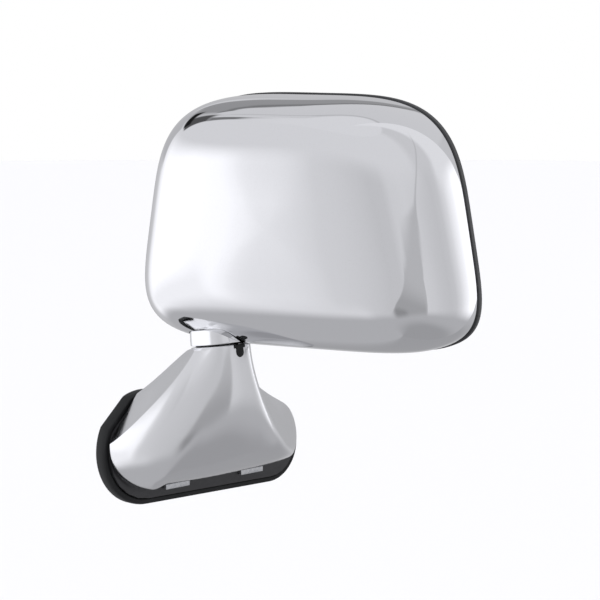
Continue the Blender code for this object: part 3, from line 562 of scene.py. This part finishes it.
def make_gasket():
    """Rubber pad with a rounded lip round its tray, and two sealing grooves in its back."""
    lip, width, edge = GASKET_LIP / MM, LIP_WIDTH / MM, 0.35
    section = [(6.6, 0), (6.2, 0.7), (5.6, 0.7), (5.2, 0), (3.6, 0), (3.2, 0.7), (2.6, 0.7), (2.2, 0)]
    section += [(edge * (1 - math.sin(a)), edge * (1 - math.cos(a))) for a in arc_steps(0, 90, 3)]
    section += [
        (0.35 * width * (1 - math.cos(a)), lip * (0.55 + 0.45 * math.sin(a))) for a in arc_steps(0, 90, 7)
    ]
    section += [(width - 0.5, lip), (width - 0.15, lip - 0.15), (width, lip - 0.5)]
    section += [(width, GASKET_FLOOR / MM)]
    rings = []
    for inset, x in section:
        rings.append([Vector((x * MM, y, z)) for y, z in foot_outline(GASKET_ENDS, inset * MM)])
    gasket = solid(rings)
    for spot in MOUNT_SPOTS:
        trimmed(gasket, tube(SCREW_HOLE, -1 * MM, GASKET_LIP, screw_place(*spot), 32))
    finish_piece(gasket, "gasket_fine", "foot", ["door_gasket"], "rubber", RUBBER)


def inset_ring(points, distance):
    """Moves each point of a counter-clockwise ring in, at right angles to its neighbours' line."""
    if not distance:
        return points
    moved = []
    for i, (x, y) in enumerate(points):
        before, after = points[i - 1], points[(i + 1) % len(points)]
        way = Vector((after[0] - before[0], after[1] - before[1])).normalized()
        moved.append((x - distance * way.y, y + distance * way.x))
    return moved


def lifted(y, z, degrees):
    """A point of the cover's outline, raised over the clips, and further forward away from the edge."""
    away = min((90 - degrees) / 14, 1)
    front = eased((y + (52 + 18 * away) * MM) / (14 * MM))
    low = min(max(-z / (20 * MM), 0), 1)
    rear = max((50 * MM - y) / (88 * MM), 0)
    return y, z + COVER_LIFT * front * low * rear


def cover_ring(degrees, shares, base, inset=0.0):
    """One section of the foot cover, from 0 at the neck to 90 at the door."""
    swing = math.radians(degrees)
    neck = neck_outline(NECK_HALF, shares, change=min(degrees / 45, 1))
    turn = swing * (1 + NECK_LEAN / (math.pi / 2)) - NECK_LEAN
    hinge = NECK_TOP - math.tan(NECK_LEAN) * (PIVOT_X - COVER_EDGE)
    section = []
    for share, (out, side), (y, z) in zip(shares, neck, base):
        y, z = lifted(y, z, degrees)
        outboard = math.cos(2 * math.pi * share)
        rearward = math.sin(2 * math.pi * share)
        inboard = max(-outboard, 0)
        toe = eased((share - TOE_START) / TOE_SPAN)
        belly = eased(outboard)
        lobe = max(rearward, 0) ** 2
        level, upright = (PIVOT_X - COVER_EDGE) / math.cos(NECK_LEAN) + out, hinge - z
        bulge = 1.13 - 0.18 * inboard * (1 - toe) + (0.65 * toe + 0.5 * lobe) * (1 - belly) + 1.6 * belly
        flare = 1.55 + 0.65 * rearward - inboard * max(rearward, -0.7 * rearward)
        reach = ((math.cos(swing) / level) ** bulge + (math.sin(swing) / upright) ** bulge) ** (-1 / bulge)
        part = (reach * math.sin(swing) / upright) ** flare
        section.append((reach, (1 - part) * (PIVOT_Y + side) + part * y))
    return [
        Vector((COVER_EDGE + reach * math.cos(turn), across, hinge - reach * math.sin(turn)))
        for reach, across in inset_ring(section, inset)
    ]


def make_foot_cover():
    """Chrome boot from a hole in its roof at the neck down to the door, with a flat on its front."""
    shares = even_shares(200)
    outline = foot_outline(COVER_ENDS)
    bottom = math.dist(outline[-1], outline[0])
    base = along(outline[-1:] + outline[:-1], shares, bottom / 2)
    corner = 0.8 * MM
    rings = [neck_ring(NECK_HALF - 2.5 * MM, NECK_TOP, shares)]
    for a in arc_steps(0, 75, 5):
        rings.append(
            neck_ring(NECK_HALF - corner * (1 - math.sin(a)), NECK_TOP - corner * (1 - math.cos(a)), shares)
        )
    swings = [1.8, 2.6, 3.6] + [5 + 84 * i / 56 for i in range(57)] + [89.6]
    rings += [cover_ring(degrees, shares, base) for degrees in swings]
    rings.append(cover_ring(90, shares, base, 0.2 * MM))
    cover = solid(rings)
    rings = [neck_ring(NECK_HALF - COVER_WALL, NECK_TOP - COVER_WALL, shares)]
    for degrees in (8, 20, 30, 40, 50, 60, 70, 80, 90):
        rings.append(cover_ring(degrees, shares, base, COVER_WALL))
    rings.append([point - Vector((1 * MM, 0, 0)) for point in rings[-1]])
    inside = solid(rings)
    trimmed(cover, beyond_facet(0))
    trimmed(inside, beyond_facet(COVER_WALL))
    hole = tube(ROOF_HOLE, NECK_TOP - 2 * COVER_WALL, NECK_TOP + 1 * MM, NECK, 80)
    inner, outer = 12 * MM, 22 * MM
    low, top = NECK_TOP - NOTCH_DEPTH, NECK_TOP + 5 * MM
    slot = [tube(NOTCH_HALF, inner, outer, NECK @ Matrix.Translation((0, 0, low)) @ ALONG_X, 40)]
    for half, base_z in ((NOTCH_HALF, low), (NOTCH_HALF + 1.5 * MM, NECK_TOP - 2.4 * MM)):
        corners = [(-half, base_z), (half, base_z), (half, top), (-half, top)]
        slot.append(solid([[NECK @ Vector((x, y, z)) for y, z in corners] for x in (inner, outer)]))
    trimmed(cover, inside, hole, *slot)
    finish_piece(cover, "foot_cover_fine", "foot", ["foot_cover"], "chrome", FOOT_CHROME, angle=12)


def beyond_facet(depth):
    """A block that cuts the cover's flat, so deep behind its face."""
    turn = FACET_WAY.to_track_quat("Z", "Y").to_matrix().to_4x4()
    place = Matrix.Translation(FACET_WAY * (FACET_REACH - depth)) @ turn
    half = 80 * MM
    square = [(-half, -half), (half, -half), (half, half), (-half, half)]
    return solid([[place @ Vector((x, y, z)) for x, y in square] for z in (0, 40 * MM)])


def make_notch_plug():
    """Rubber plug of the cover's notch, with its soft edges."""
    radius, cap = NOTCH_HALF - GAP, NOTCH_HALF + 1.5 * MM - GAP
    low, high = NECK_TOP - NOTCH_DEPTH, NECK_TOP - GAP
    outline = [(radius * math.cos(a), low + radius * math.sin(a)) for a in arc_steps(180, 360, 20)]
    outline += [
        (radius, high - 1.8 * MM), (cap, high - 1.8 * MM), (cap, high),
        (-cap, high), (-cap, high - 1.8 * MM), (-radius, high - 1.8 * MM),
    ]
    faces = (NECK_HALF - 1.9 * MM, NECK_HALF + 0.7 * MM)
    plug = solid([[NECK @ Vector((x, y, z)) for y, z in outline] for x in faces])
    rounded(plug, 0.3 * MM)
    finish_piece(plug, "notch_plug_fine", "foot", ["notch_plug"], "rubber", RUBBER, angle=50)


def make_clips():
    """Spring-steel strips under the cover's lower edge, folded outwards, with rounded edges."""
    back, face = PLATE_FRONT + GAP, PLATE_FRONT + GAP + 1.0 * MM
    profile = (
        (back, CLIP_LOW + 0.2 * MM), (face + 2 * MM, CLIP_LOW), (face + 2 * MM, CLIP_HIGH),
        (face, CLIP_HIGH + 0.4 * MM), (face, CLIP_HIGH + 8 * MM), (back, CLIP_HIGH + 8 * MM),
    )
    for number, (middle, length) in enumerate(CLIP_SPOTS, 1):
        sides = ((middle - length / 2) * MM, (middle + length / 2) * MM)
        clip = solid([[Vector((x, y, z)) for x, z in profile] for y in sides])
        rounded(clip, 0.25 * MM)
        node = f"cover_clip_{number}"
        finish_piece(clip, f"cover_clip_fine_{number}", "foot", [node], "bright_steel", STEEL)


def threaded(radius, pitch, low, high, place, sides=32, turns_fine=8):
    """A screw thread along Z: a rod whose radius rises and falls along a helix."""
    depth = 0.55 * pitch
    steps = round((high - low) / pitch * turns_fine)
    rings = []
    for k in range(steps + 1):
        z = low + (high - low) * k / steps
        end = min(min(z - low, high - z) / pitch, 1.0)
        ring = []
        for i in range(sides):
            wave = abs(2 * ((z / pitch - i / sides) % 1.0) - 1)
            r = radius - depth * min(max(1.25 * wave - 0.1, 1 - end), 1)
            angle = 2 * math.pi * i / sides
            ring.append(place @ Vector((r * math.cos(angle), r * math.sin(angle), z)))
        rings.append(ring)
    return solid(rings)


def joined(name, objects):
    """Several closed shapes of one piece in one object."""
    work = bmesh.new()
    for obj in objects:
        work.from_mesh(obj.data)
        bpy.data.objects.remove(obj, do_unlink=True)
    mesh = bpy.data.meshes.new(name)
    work.to_mesh(mesh)
    work.free()
    return linked(mesh)


def hexagon(across, low, high, place, chamfer=0.6 * MM):
    """A hexagon head or nut whose corners are turned off at its top."""
    radius = across / math.sqrt(3)
    prism = tube(radius, low, high, place, 6)
    wide = radius + 1 * MM
    section = [(wide, low - 1 * MM), (wide, high - chamfer), (across / 2 - chamfer, high + 0.2 * MM)]
    return trimmed(prism, solid([circle(r, z, place, 48) for r, z in section]), operation="INTERSECT")


def make_mounting_screws():
    """Flanged hexagon screws, threaded where they stand out of the gasket."""
    base = PLATE_FRONT + GAP
    for number, spot in enumerate(MOUNT_SPOTS, 1):
        place = screw_place(*spot)
        flange = rounded(tube(7 * MM, base, base + 1.2 * MM, place), 0.3 * MM, 2)
        head = hexagon(9.7 * MM, base + 0.6 * MM, base + 5.2 * MM, place)
        shank = threaded(3 * MM, 1 * MM, -14 * MM, base + 1 * MM, place)
        screw = joined("screw", [flange, head, shank])
        finish_piece(
            screw, f"mounting_screw_fine_{number}", "foot", [f"mounting_screw_{number}"],
            "passivated_steel", PASSIVATED, angle=30,
        )


# ---------------------------------------------------------------- neck


def make_neck():
    """The seal in the fold seam and the chrome collar above it."""
    shares = even_shares(160)
    low = NECK_TOP + GAP
    high = low + SEAL_THICK
    outer, inner, soft = SEAL_RADIUS, ROOF_HOLE - 0.5 * MM, 0.15 * MM
    section = [
        (inner, low), (outer - soft, low), (outer, low + soft),
        (outer, high - soft), (outer - soft, high), (inner, high),
    ]
    seal = loft([neck_ring(half, z, shares, 2) for half, z in section], closed=True)
    finish_piece(seal, "neck_seal_fine", "foot", ["neck_seal"], "rubber", RUBBER)
    low = high + GAP
    wall, edge = 2.2 * MM, 0.5 * MM
    steps = [(NECK_HALF - edge - wall, low), (NECK_HALF - 1.2 * MM, low)]
    for a in arc_steps(0, 90, 5):
        steps.append((NECK_HALF - edge * (1 - math.sin(a)), low + edge * (1 - math.cos(a))))
    for i in range(1, 9):
        steps.append((NECK_HALF - 0.2 * MM * i / 8, low + edge + 5.5 * MM * i / 8))
    steps.append((NECK_HALF - 0.4 * MM, COLLAR_TOP))
    steps.append((NECK_HALF - 0.4 * MM - wall, COLLAR_TOP))
    collar = loft([neck_ring(half, z, shares) for half, z in steps], closed=True)
    finish_piece(collar, "neck_collar_fine", "head", ["neck_collar"], "chrome", CHROME, angle=40)


# ---------------------------------------------------------------- head


def make_shell():
    """Chrome shell: a deep dome on the head's outline, with a hole for the neck and a flat round it."""
    outline = head_outline()
    rings = [head_ring(head_outline(0.03 * MM), RIM_BACK - 0.45 * MM)]
    steps = 84 if FINE else 60
    for i in range(1, steps):
        turn = math.radians(90) * (i / steps)
        reach = math.cos(turn) ** (2 / SHELL_SIDE_POWER)
        ring = []
        for x, z in outline:
            y = RIM_BACK - shell_drop(reach, reach * z)
            ring.append(HEAD @ Vector((HEAD_MIDDLE_X + reach * x, y, HEAD_MIDDLE_Z + reach * z)))
        rings.append(ring)
    tip = HEAD @ Vector((HEAD_MIDDLE_X, RIM_BACK - shell_drop(0, 0), HEAD_MIDDLE_Z))
    shell = loft(rings, pole=tip)
    wall = shell.modifiers.new("wall", "SOLIDIFY")
    wall.thickness = SHELL_WALL
    wall.offset = -1
    applied(shell)
    hole = (NECK_HALF + 0.1 * MM, NECK_POWER, COLLAR_TOP + 8 * MM)
    flat = (SWEEP_RADIUS, 2, NECK_TOP + GAP)
    for half, power, top in (hole, flat):
        rings = [neck_ring(half, z, even_shares(160), power) for z in (NECK_TOP - 8 * MM, top)]
        trimmed(shell, solid(rings))
    finish_piece(shell, "housing_shell_fine", "head", ["housing_shell"], "chrome", CHROME, angle=40)


def make_bezel():
    """Black frame round the glass, with soft edges and a step down to the glass; its section is in mm."""
    section = [(7.2, 31.4), (0.4, 31.4)]
    section += [(0.3 - 1.0 * math.sin(a), 32.4 - 1.0 * math.cos(a)) for a in arc_steps(0, 90, 4)]
    section += [(0.5 - 1.2 * math.cos(a), 36.4 + 1.2 * math.sin(a)) for a in arc_steps(0, 60, 4)]
    section += [(1.0, 37.75), (2.2, 38.0), (4.6, 38.0), (7.0, 37.95)]
    section += [(7.0 + 2.0 * math.sin(a), 35.95 + 2.0 * math.cos(a)) for a in arc_steps(15, 90, 6)]
    section += [(9.0, 30), (9.0, 21.8), (8.7, 21.5), (7.5, 21.5), (7.2, 21.8)]
    bezel = loft([head_ring(head_outline(inset * MM), y * MM) for inset, y in section], closed=True)
    finish_piece(bezel, "bezel_fine", "head", ["bezel"], "black_plastic", GRAINED, angle=40)


def make_glass():
    """Flat silvered glass with a ground and seamed edge."""
    face, back = GLASS_FACE, GLASS_FACE - GLASS_THICK
    seam = 0.35 * MM
    section = ((seam, back), (0, back + seam), (0, face - seam), (seam, face))
    glass = solid([head_ring(head_outline(GLASS_INSET + inset), y) for inset, y in section])
    looks = (SILVER, GLASS_EDGE)
    finish_piece(glass, "mirror_glass_fine", "glass", ["mirror_glass"], "silvered_glass", *looks, angle=20)
    for polygon in glass.data.polygons:
        polygon.material_index = 0 if len(polygon.vertices) > 4 else 1


def spring(name, body, radius, wire, low, high, turns, place, steps=24, sides=12):
    """A coil spring rising evenly from end to end, with its wire cut square."""
    count = turns * steps
    rings = []
    rise = high - low - wire
    for k in range(count + 1):
        angle = 2 * math.pi * k / steps
        z = low + wire / 2 + rise * k / count
        out, up = Vector((math.cos(angle), math.sin(angle), 0)), Vector((0, 0, 1))
        centre = radius * out + z * up
        ring = []
        for i in range(sides):
            bend = 2 * math.pi * i / sides
            ring.append(place @ (centre + wire / 2 * (math.cos(bend) * out + math.sin(bend) * up)))
        rings.append(ring)
    finish_piece(solid(rings), f"{name}_fine", body, [name], "bright_steel", STEEL)


def make_springs():
    """The strong spring on the fold axis and the three small ones round the ball."""
    seat = HUB_TOP + GAP + SPRING_SEAT
    spring("fold_spring", "foot", 6.2 * MM, 2 * MM, seat + GAP, SPRING_TOP - GAP, 6, NECK)
    top = RETAINER_BACK - GAP
    for number in range(1, 4):
        angle = math.radians(120 * (number - 1))
        x, z = RETAINER_CIRCLE * math.sin(angle), RETAINER_CIRCLE * math.cos(angle)
        place = BALL @ Matrix.Translation((x, 0, z)) @ ALONG_Y
        spring(f"retainer_spring_{number}", "glass", 2.6 * MM, 0.7 * MM, top - 5.2 * MM, top, 4, place)


# ---------------------------------------------------------------- pieces kept from the solids


def dress_nodes():
    """Gives every solid that stays in view the look of its slot."""
    slots = {part["node"]: part["material_slot"] for part in frame["record"]["subparts"]}
    for name, obj in frame["nodes"].items():
        look = LOOK_OF_SLOT[slots[name]]
        if not obj.material_slots:
            obj.data.materials.append(look)
        for holder in obj.material_slots:
            holder.material = look


# ---------------------------------------------------------------- studio and camera


def make_floor():
    """A plain pale floor, which the chrome's reflections leave out."""
    middle = Matrix.Translation((0.1, -0.01, 0))
    depth = -0.35
    work = bmesh.new()
    disc = [work.verts.new(point) for point in circle(9.0, depth, middle, 64)]
    work.faces.new(disc)
    mesh = bpy.data.meshes.new("floor")
    work.to_mesh(mesh)
    work.free()
    floor = linked(mesh)
    floor.name = "floor"
    look = Look("pale_floor", (0.86, 0.86, 0.87), 0.9)
    floor.data.materials.append(look.material)
    floor.visible_glossy = False


class Sky:
    """The studio round the object, as brightness by azimuth (0 in front, 90 outboard) and elevation."""

    def __init__(self):
        world = bpy.data.worlds.new("studio")
        bpy.context.scene.world = world
        world.use_nodes = True
        self.tree = world.node_tree
        self.background = self.tree.nodes["Background"]
        way = self.tree.nodes.new("ShaderNodeTexCoord").outputs["Generated"]  # the ray's direction
        parts = self.tree.nodes.new("ShaderNodeSeparateXYZ")
        self.tree.links.new(way, parts.inputs[0])
        x, y, z = parts.outputs
        turn, height = self.calc("ARCTAN2", x, self.calc("MULTIPLY", y, -1)), self.calc("ARCSINE", z)
        self.azimuth, self.elevation = (self.calc("MULTIPLY", way, math.degrees(1)) for way in (turn, height))
        self.colour = None

    def calc(self, operation, *values):
        node = self.tree.nodes.new("ShaderNodeMath")
        node.operation = operation
        for value, socket in zip(values, node.inputs):
            if isinstance(value, (int, float)):
                socket.default_value = value
            else:
                self.tree.links.new(value, socket)
        return node.outputs[0]

    def ease(self, value, start, stop):
        """0 before start and 1 after stop, which may come in either order."""
        node = self.tree.nodes.new("ShaderNodeMapRange")
        node.interpolation_type = "SMOOTHSTEP"
        node.inputs["From Min"].default_value = start
        node.inputs["From Max"].default_value = stop
        self.tree.links.new(value, node.inputs["Value"])
        return node.outputs["Result"]

    def both(self, *masks):
        mask = masks[0]
        for other in masks[1:]:
            mask = self.calc("MULTIPLY", mask, other)
        return mask

    def band(self, value, start, full, fade, end):
        return self.both(self.ease(value, start, full), self.ease(value, end, fade))

    def lay(self, colour, mask):
        """Lays a colour over what is there, by the mask."""
        node = self.tree.nodes.new("ShaderNodeMix")
        node.data_type = "RGBA"
        self.tree.links.new(mask, node.inputs["Factor"])
        self.tree.links.new(self.colour, node.inputs["A"])
        node.inputs["B"].default_value = (*colour, 1)
        self.colour = node.outputs["Result"]

    def patch(self, seen, azimuths, elevations):
        """Lays a grey in a soft-edged patch: each way, where it starts, is full, begins to fade and ends."""
        across, upward = self.band(self.azimuth, *azimuths), self.band(self.elevation, *elevations)
        self.lay(shade(seen), self.both(across, upward))

    def above(self, *points):
        """How far a direction lies above the straight lines through (azimuth, elevation) points."""
        node = self.tree.nodes.new("ShaderNodeFloatCurve")
        curve_points = node.mapping.curves[0].points
        while len(curve_points) < len(points):
            curve_points.new(0.5, 0.5)
        for point, (turn, height) in zip(curve_points, points):
            point.location = ((turn + 180) / 360, (height + 90) / 180)
            point.handle_type = "VECTOR"
        node.mapping.update()
        self.tree.links.new(self.share(self.azimuth), node.inputs["Value"])
        line = self.calc("SUBTRACT", self.calc("MULTIPLY", node.outputs["Value"], 180), 90)
        return self.calc("SUBTRACT", self.elevation, line)

    def share(self, azimuth):
        return self.calc("DIVIDE", self.calc("ADD", azimuth, 180), 360)

    def walls(self, azimuth, *stops):
        """The greys round the horizon, each at its azimuth."""
        node = self.tree.nodes.new("ShaderNodeValToRGB")
        fill_ramp(node.color_ramp, [((turn + 180) / 360, shade(seen)) for turn, seen in stops])
        self.tree.links.new(self.share(azimuth), node.inputs["Fac"])
        self.colour = node.outputs["Color"]

    def close(self):
        """Shows the studio to everything but the camera, which sees a plain white sweep."""
        seen = self.tree.nodes.new("ShaderNodeLightPath").outputs["Is Camera Ray"]
        self.lay((1.0, 1.0, 1.0), seen)
        self.tree.links.new(self.colour, self.background.inputs["Color"])


def shade(seen, tint=0.03):
    """The light that the chrome shows as this grey, of 0 to 1 on screen."""
    value = ((seen + 0.055) / 1.055) ** 2.4 / 0.865
    return (value, value, value * (1 + tint))


def lay_walls(sky):
    """A white softbox in front and inboard, between grey walls that meet a grey ceiling."""
    azimuth, elevation = sky.azimuth, sky.elevation
    below = sky.calc("MINIMUM", sky.calc("ADD", elevation, 13), 0)
    bent = sky.calc("SUBTRACT", azimuth, sky.calc("MULTIPLY", below, 0.32))
    sky.walls(
        bent,
        (-180, 0.74), (-118, 0.70), (-98, 0.76), (-88, 0.93), (-76, 1.02), (-30, 1.02), (-11.5, 0.99),
        (-8.5, 0.955), (-6, 0.885), (-3, 0.845), (2, 0.802), (20, 0.775), (42, 0.742), (58, 0.745),
        (70, 0.785), (92, 0.795), (112, 0.78), (128, 0.755), (143, 0.74), (153, 0.755), (162, 0.83),
        (172, 0.96), (176, 1.04), (180, 1.04),
    )
    sky.lay(shade(0.94), sky.both(sky.band(azimuth, -95, -80, -22, -14), sky.ease(elevation, -12, -26)))
    sky.lay(shade(0.81), sky.both(sky.ease(elevation, 3, 28), sky.band(azimuth, -100, -85, 120, 150)))
    sky.lay(shade(0.765), sky.both(sky.ease(elevation, 12, 22), sky.ease(azimuth, 120, 145)))
    sky.lay(shade(0.77), sky.both(sky.ease(elevation, 17, 20), sky.ease(azimuth, -85, -100)))


def lay_panels(sky):
    """Grey and dark panels high up and inboard, which the head's rounded top shows as streaks."""
    azimuth, elevation = sky.azimuth, sky.elevation
    over = sky.above((-180, 17.5), (-136, 17.5), (-130, 23), (-118, 21), (-100, 21))
    under = sky.above((-180, 17), (-150, 21), (-140, 29), (-131, 35), (-124, 43), (-114, 49), (-100, 49))
    inside = sky.both(sky.ease(over, -0.5, 1.5), sky.ease(under, 0.5, -1.5))
    sky.lay(shade(0.555), sky.both(inside, sky.ease(azimuth, -100, -112)))
    edge = sky.band(under, -4, -1.5, -1.2, 0.2)
    sky.lay(shade(0.45), sky.both(edge, sky.band(azimuth, -152, -145, -112, -104)))
    sky.lay(shade(0.82), sky.ease(elevation, 63.5, 66))
    line = sky.above((-180, 62), (-110, 61), (-97, 53.5), (-76, 57), (-60, 57))
    sky.lay(shade(0.70), sky.both(sky.band(line, -1.5, 0, 1, 2.5), sky.ease(azimuth, -92, -105)))
    sky.patch(0.69, (-122, -116, -93, -88), (1, 6, 24, 28))
    sky.patch(0.655, (-168, -160, -135, -125), (-18, -10, 1, 5))
    sky.patch(0.30, (-104, -98, -81, -77), (28, 31, 49, 54))
    sky.patch(0.44, (-93, -88, -80, -75), (49, 53, 61, 64))
    sky.patch(0.10, (-114, -111, -89, -84), (27.5, 29.5, 34.5, 37.5))
    sky.lay(shade(0.85), sky.both(sky.ease(elevation, 6, 13), sky.ease(azimuth, 156, 164)))


def lay_stand(sky):
    """A dark stand outboard, broad and darker at its foot and drawn out to a thin arm above."""
    azimuth, elevation = sky.azimuth, sky.elevation
    under = sky.above(
        (-180, -60), (30, -46), (44, -27), (66, -5), (76, -1), (90, 2.5), (108, 6.8), (114, 10),
        (140, 27), (164, 40), (180, 47),
    )
    over = sky.above(
        (-180, -90), (93.5, -90), (96.5, -2), (101, 1.7), (108.5, 4), (114, 7.7), (140, 25),
        (164, 38), (180, 45),
    )
    stand = sky.both(sky.ease(under, 0.6, -1.6), sky.ease(over, -0.6, 0.8))
    stand = sky.both(stand, sky.band(azimuth, 30, 45, 150, 172))
    sky.lay(shade(0.69), stand)
    sky.lay(shade(0.61), sky.both(stand, sky.ease(elevation, -4, -25), sky.ease(azimuth, 98, 90)))
    tip = sky.both(sky.ease(under, 0, -4), sky.ease(elevation, -29, -38))
    sky.lay(shade(0.54), sky.both(tip, sky.band(azimuth, 34, 42, 52, 64)))


def lay_ground(sky):
    """A grey ground with a soft horizon, higher at the back, and darker far down outboard."""
    azimuth, elevation = sky.azimuth, sky.elevation
    under = sky.above(
        (-180, -13), (-120, -27), (-95, -34), (-70, -40), (-50, -46), (-20, -50), (0, -51),
        (44, -45), (90, -28), (120, -21), (150, -15), (180, -13),
    )
    sky.lay(shade(0.82), sky.both(sky.ease(elevation, -33, -50), sky.band(azimuth, -110, -90, 0, 15)))
    sky.lay(shade(0.665, 0.035), sky.ease(under, 5, -7))
    sky.lay(shade(0.60, 0.035), sky.both(sky.ease(elevation, -17, -30), sky.ease(azimuth, -112, -135)))
    deep = sky.both(sky.ease(under, -4, -30), sky.ease(elevation, -25, -50))
    sky.lay(shade(0.59, 0.035), sky.both(deep, sky.ease(azimuth, 20, 70)))


def make_studio():
    """The studio that the chrome shows, and one soft light from above for all that isn't chrome."""
    sky = Sky()
    lay_walls(sky)
    lay_panels(sky)
    lay_stand(sky)
    lay_ground(sky)
    sky.close()
    data = bpy.data.lights.new("overhead", "SUN")
    data.energy = 1.6
    data.angle = math.radians(70)
    overhead = bpy.data.objects.new("overhead", data)
    bpy.context.scene.collection.objects.link(overhead)
    overhead.rotation_euler = (math.radians(12), math.radians(8), 0)
    overhead.visible_glossy = False


def make_camera():
    """The view from the front outboard corner, slightly from above."""
    azimuth, elevation = math.radians(45), math.radians(7)
    target, distance = Vector((0.1012, -0.0138, 0.0924)), 1.3
    level = math.cos(elevation)
    back = Vector((math.sin(azimuth) * level, -math.cos(azimuth) * level, math.sin(elevation)))
    data = bpy.data.cameras.new("camera")
    data.lens = 131.8
    data.sensor_width = 36
    data.clip_start = 0.01
    camera = bpy.data.objects.new("camera", data)
    bpy.context.scene.collection.objects.link(camera)
    camera.location = target + distance * back
    camera.rotation_euler = (-back).to_track_quat("-Z", "Y").to_euler()
    bpy.context.scene.camera = camera
    bpy.context.scene.view_settings.view_transform = "Standard"


make_gasket()
make_foot_cover()
make_notch_plug()
make_clips()
make_mounting_screws()
make_neck()
make_shell()
make_bezel()
make_glass()
make_springs()
dress_nodes()
make_floor()
make_studio()
make_camera()
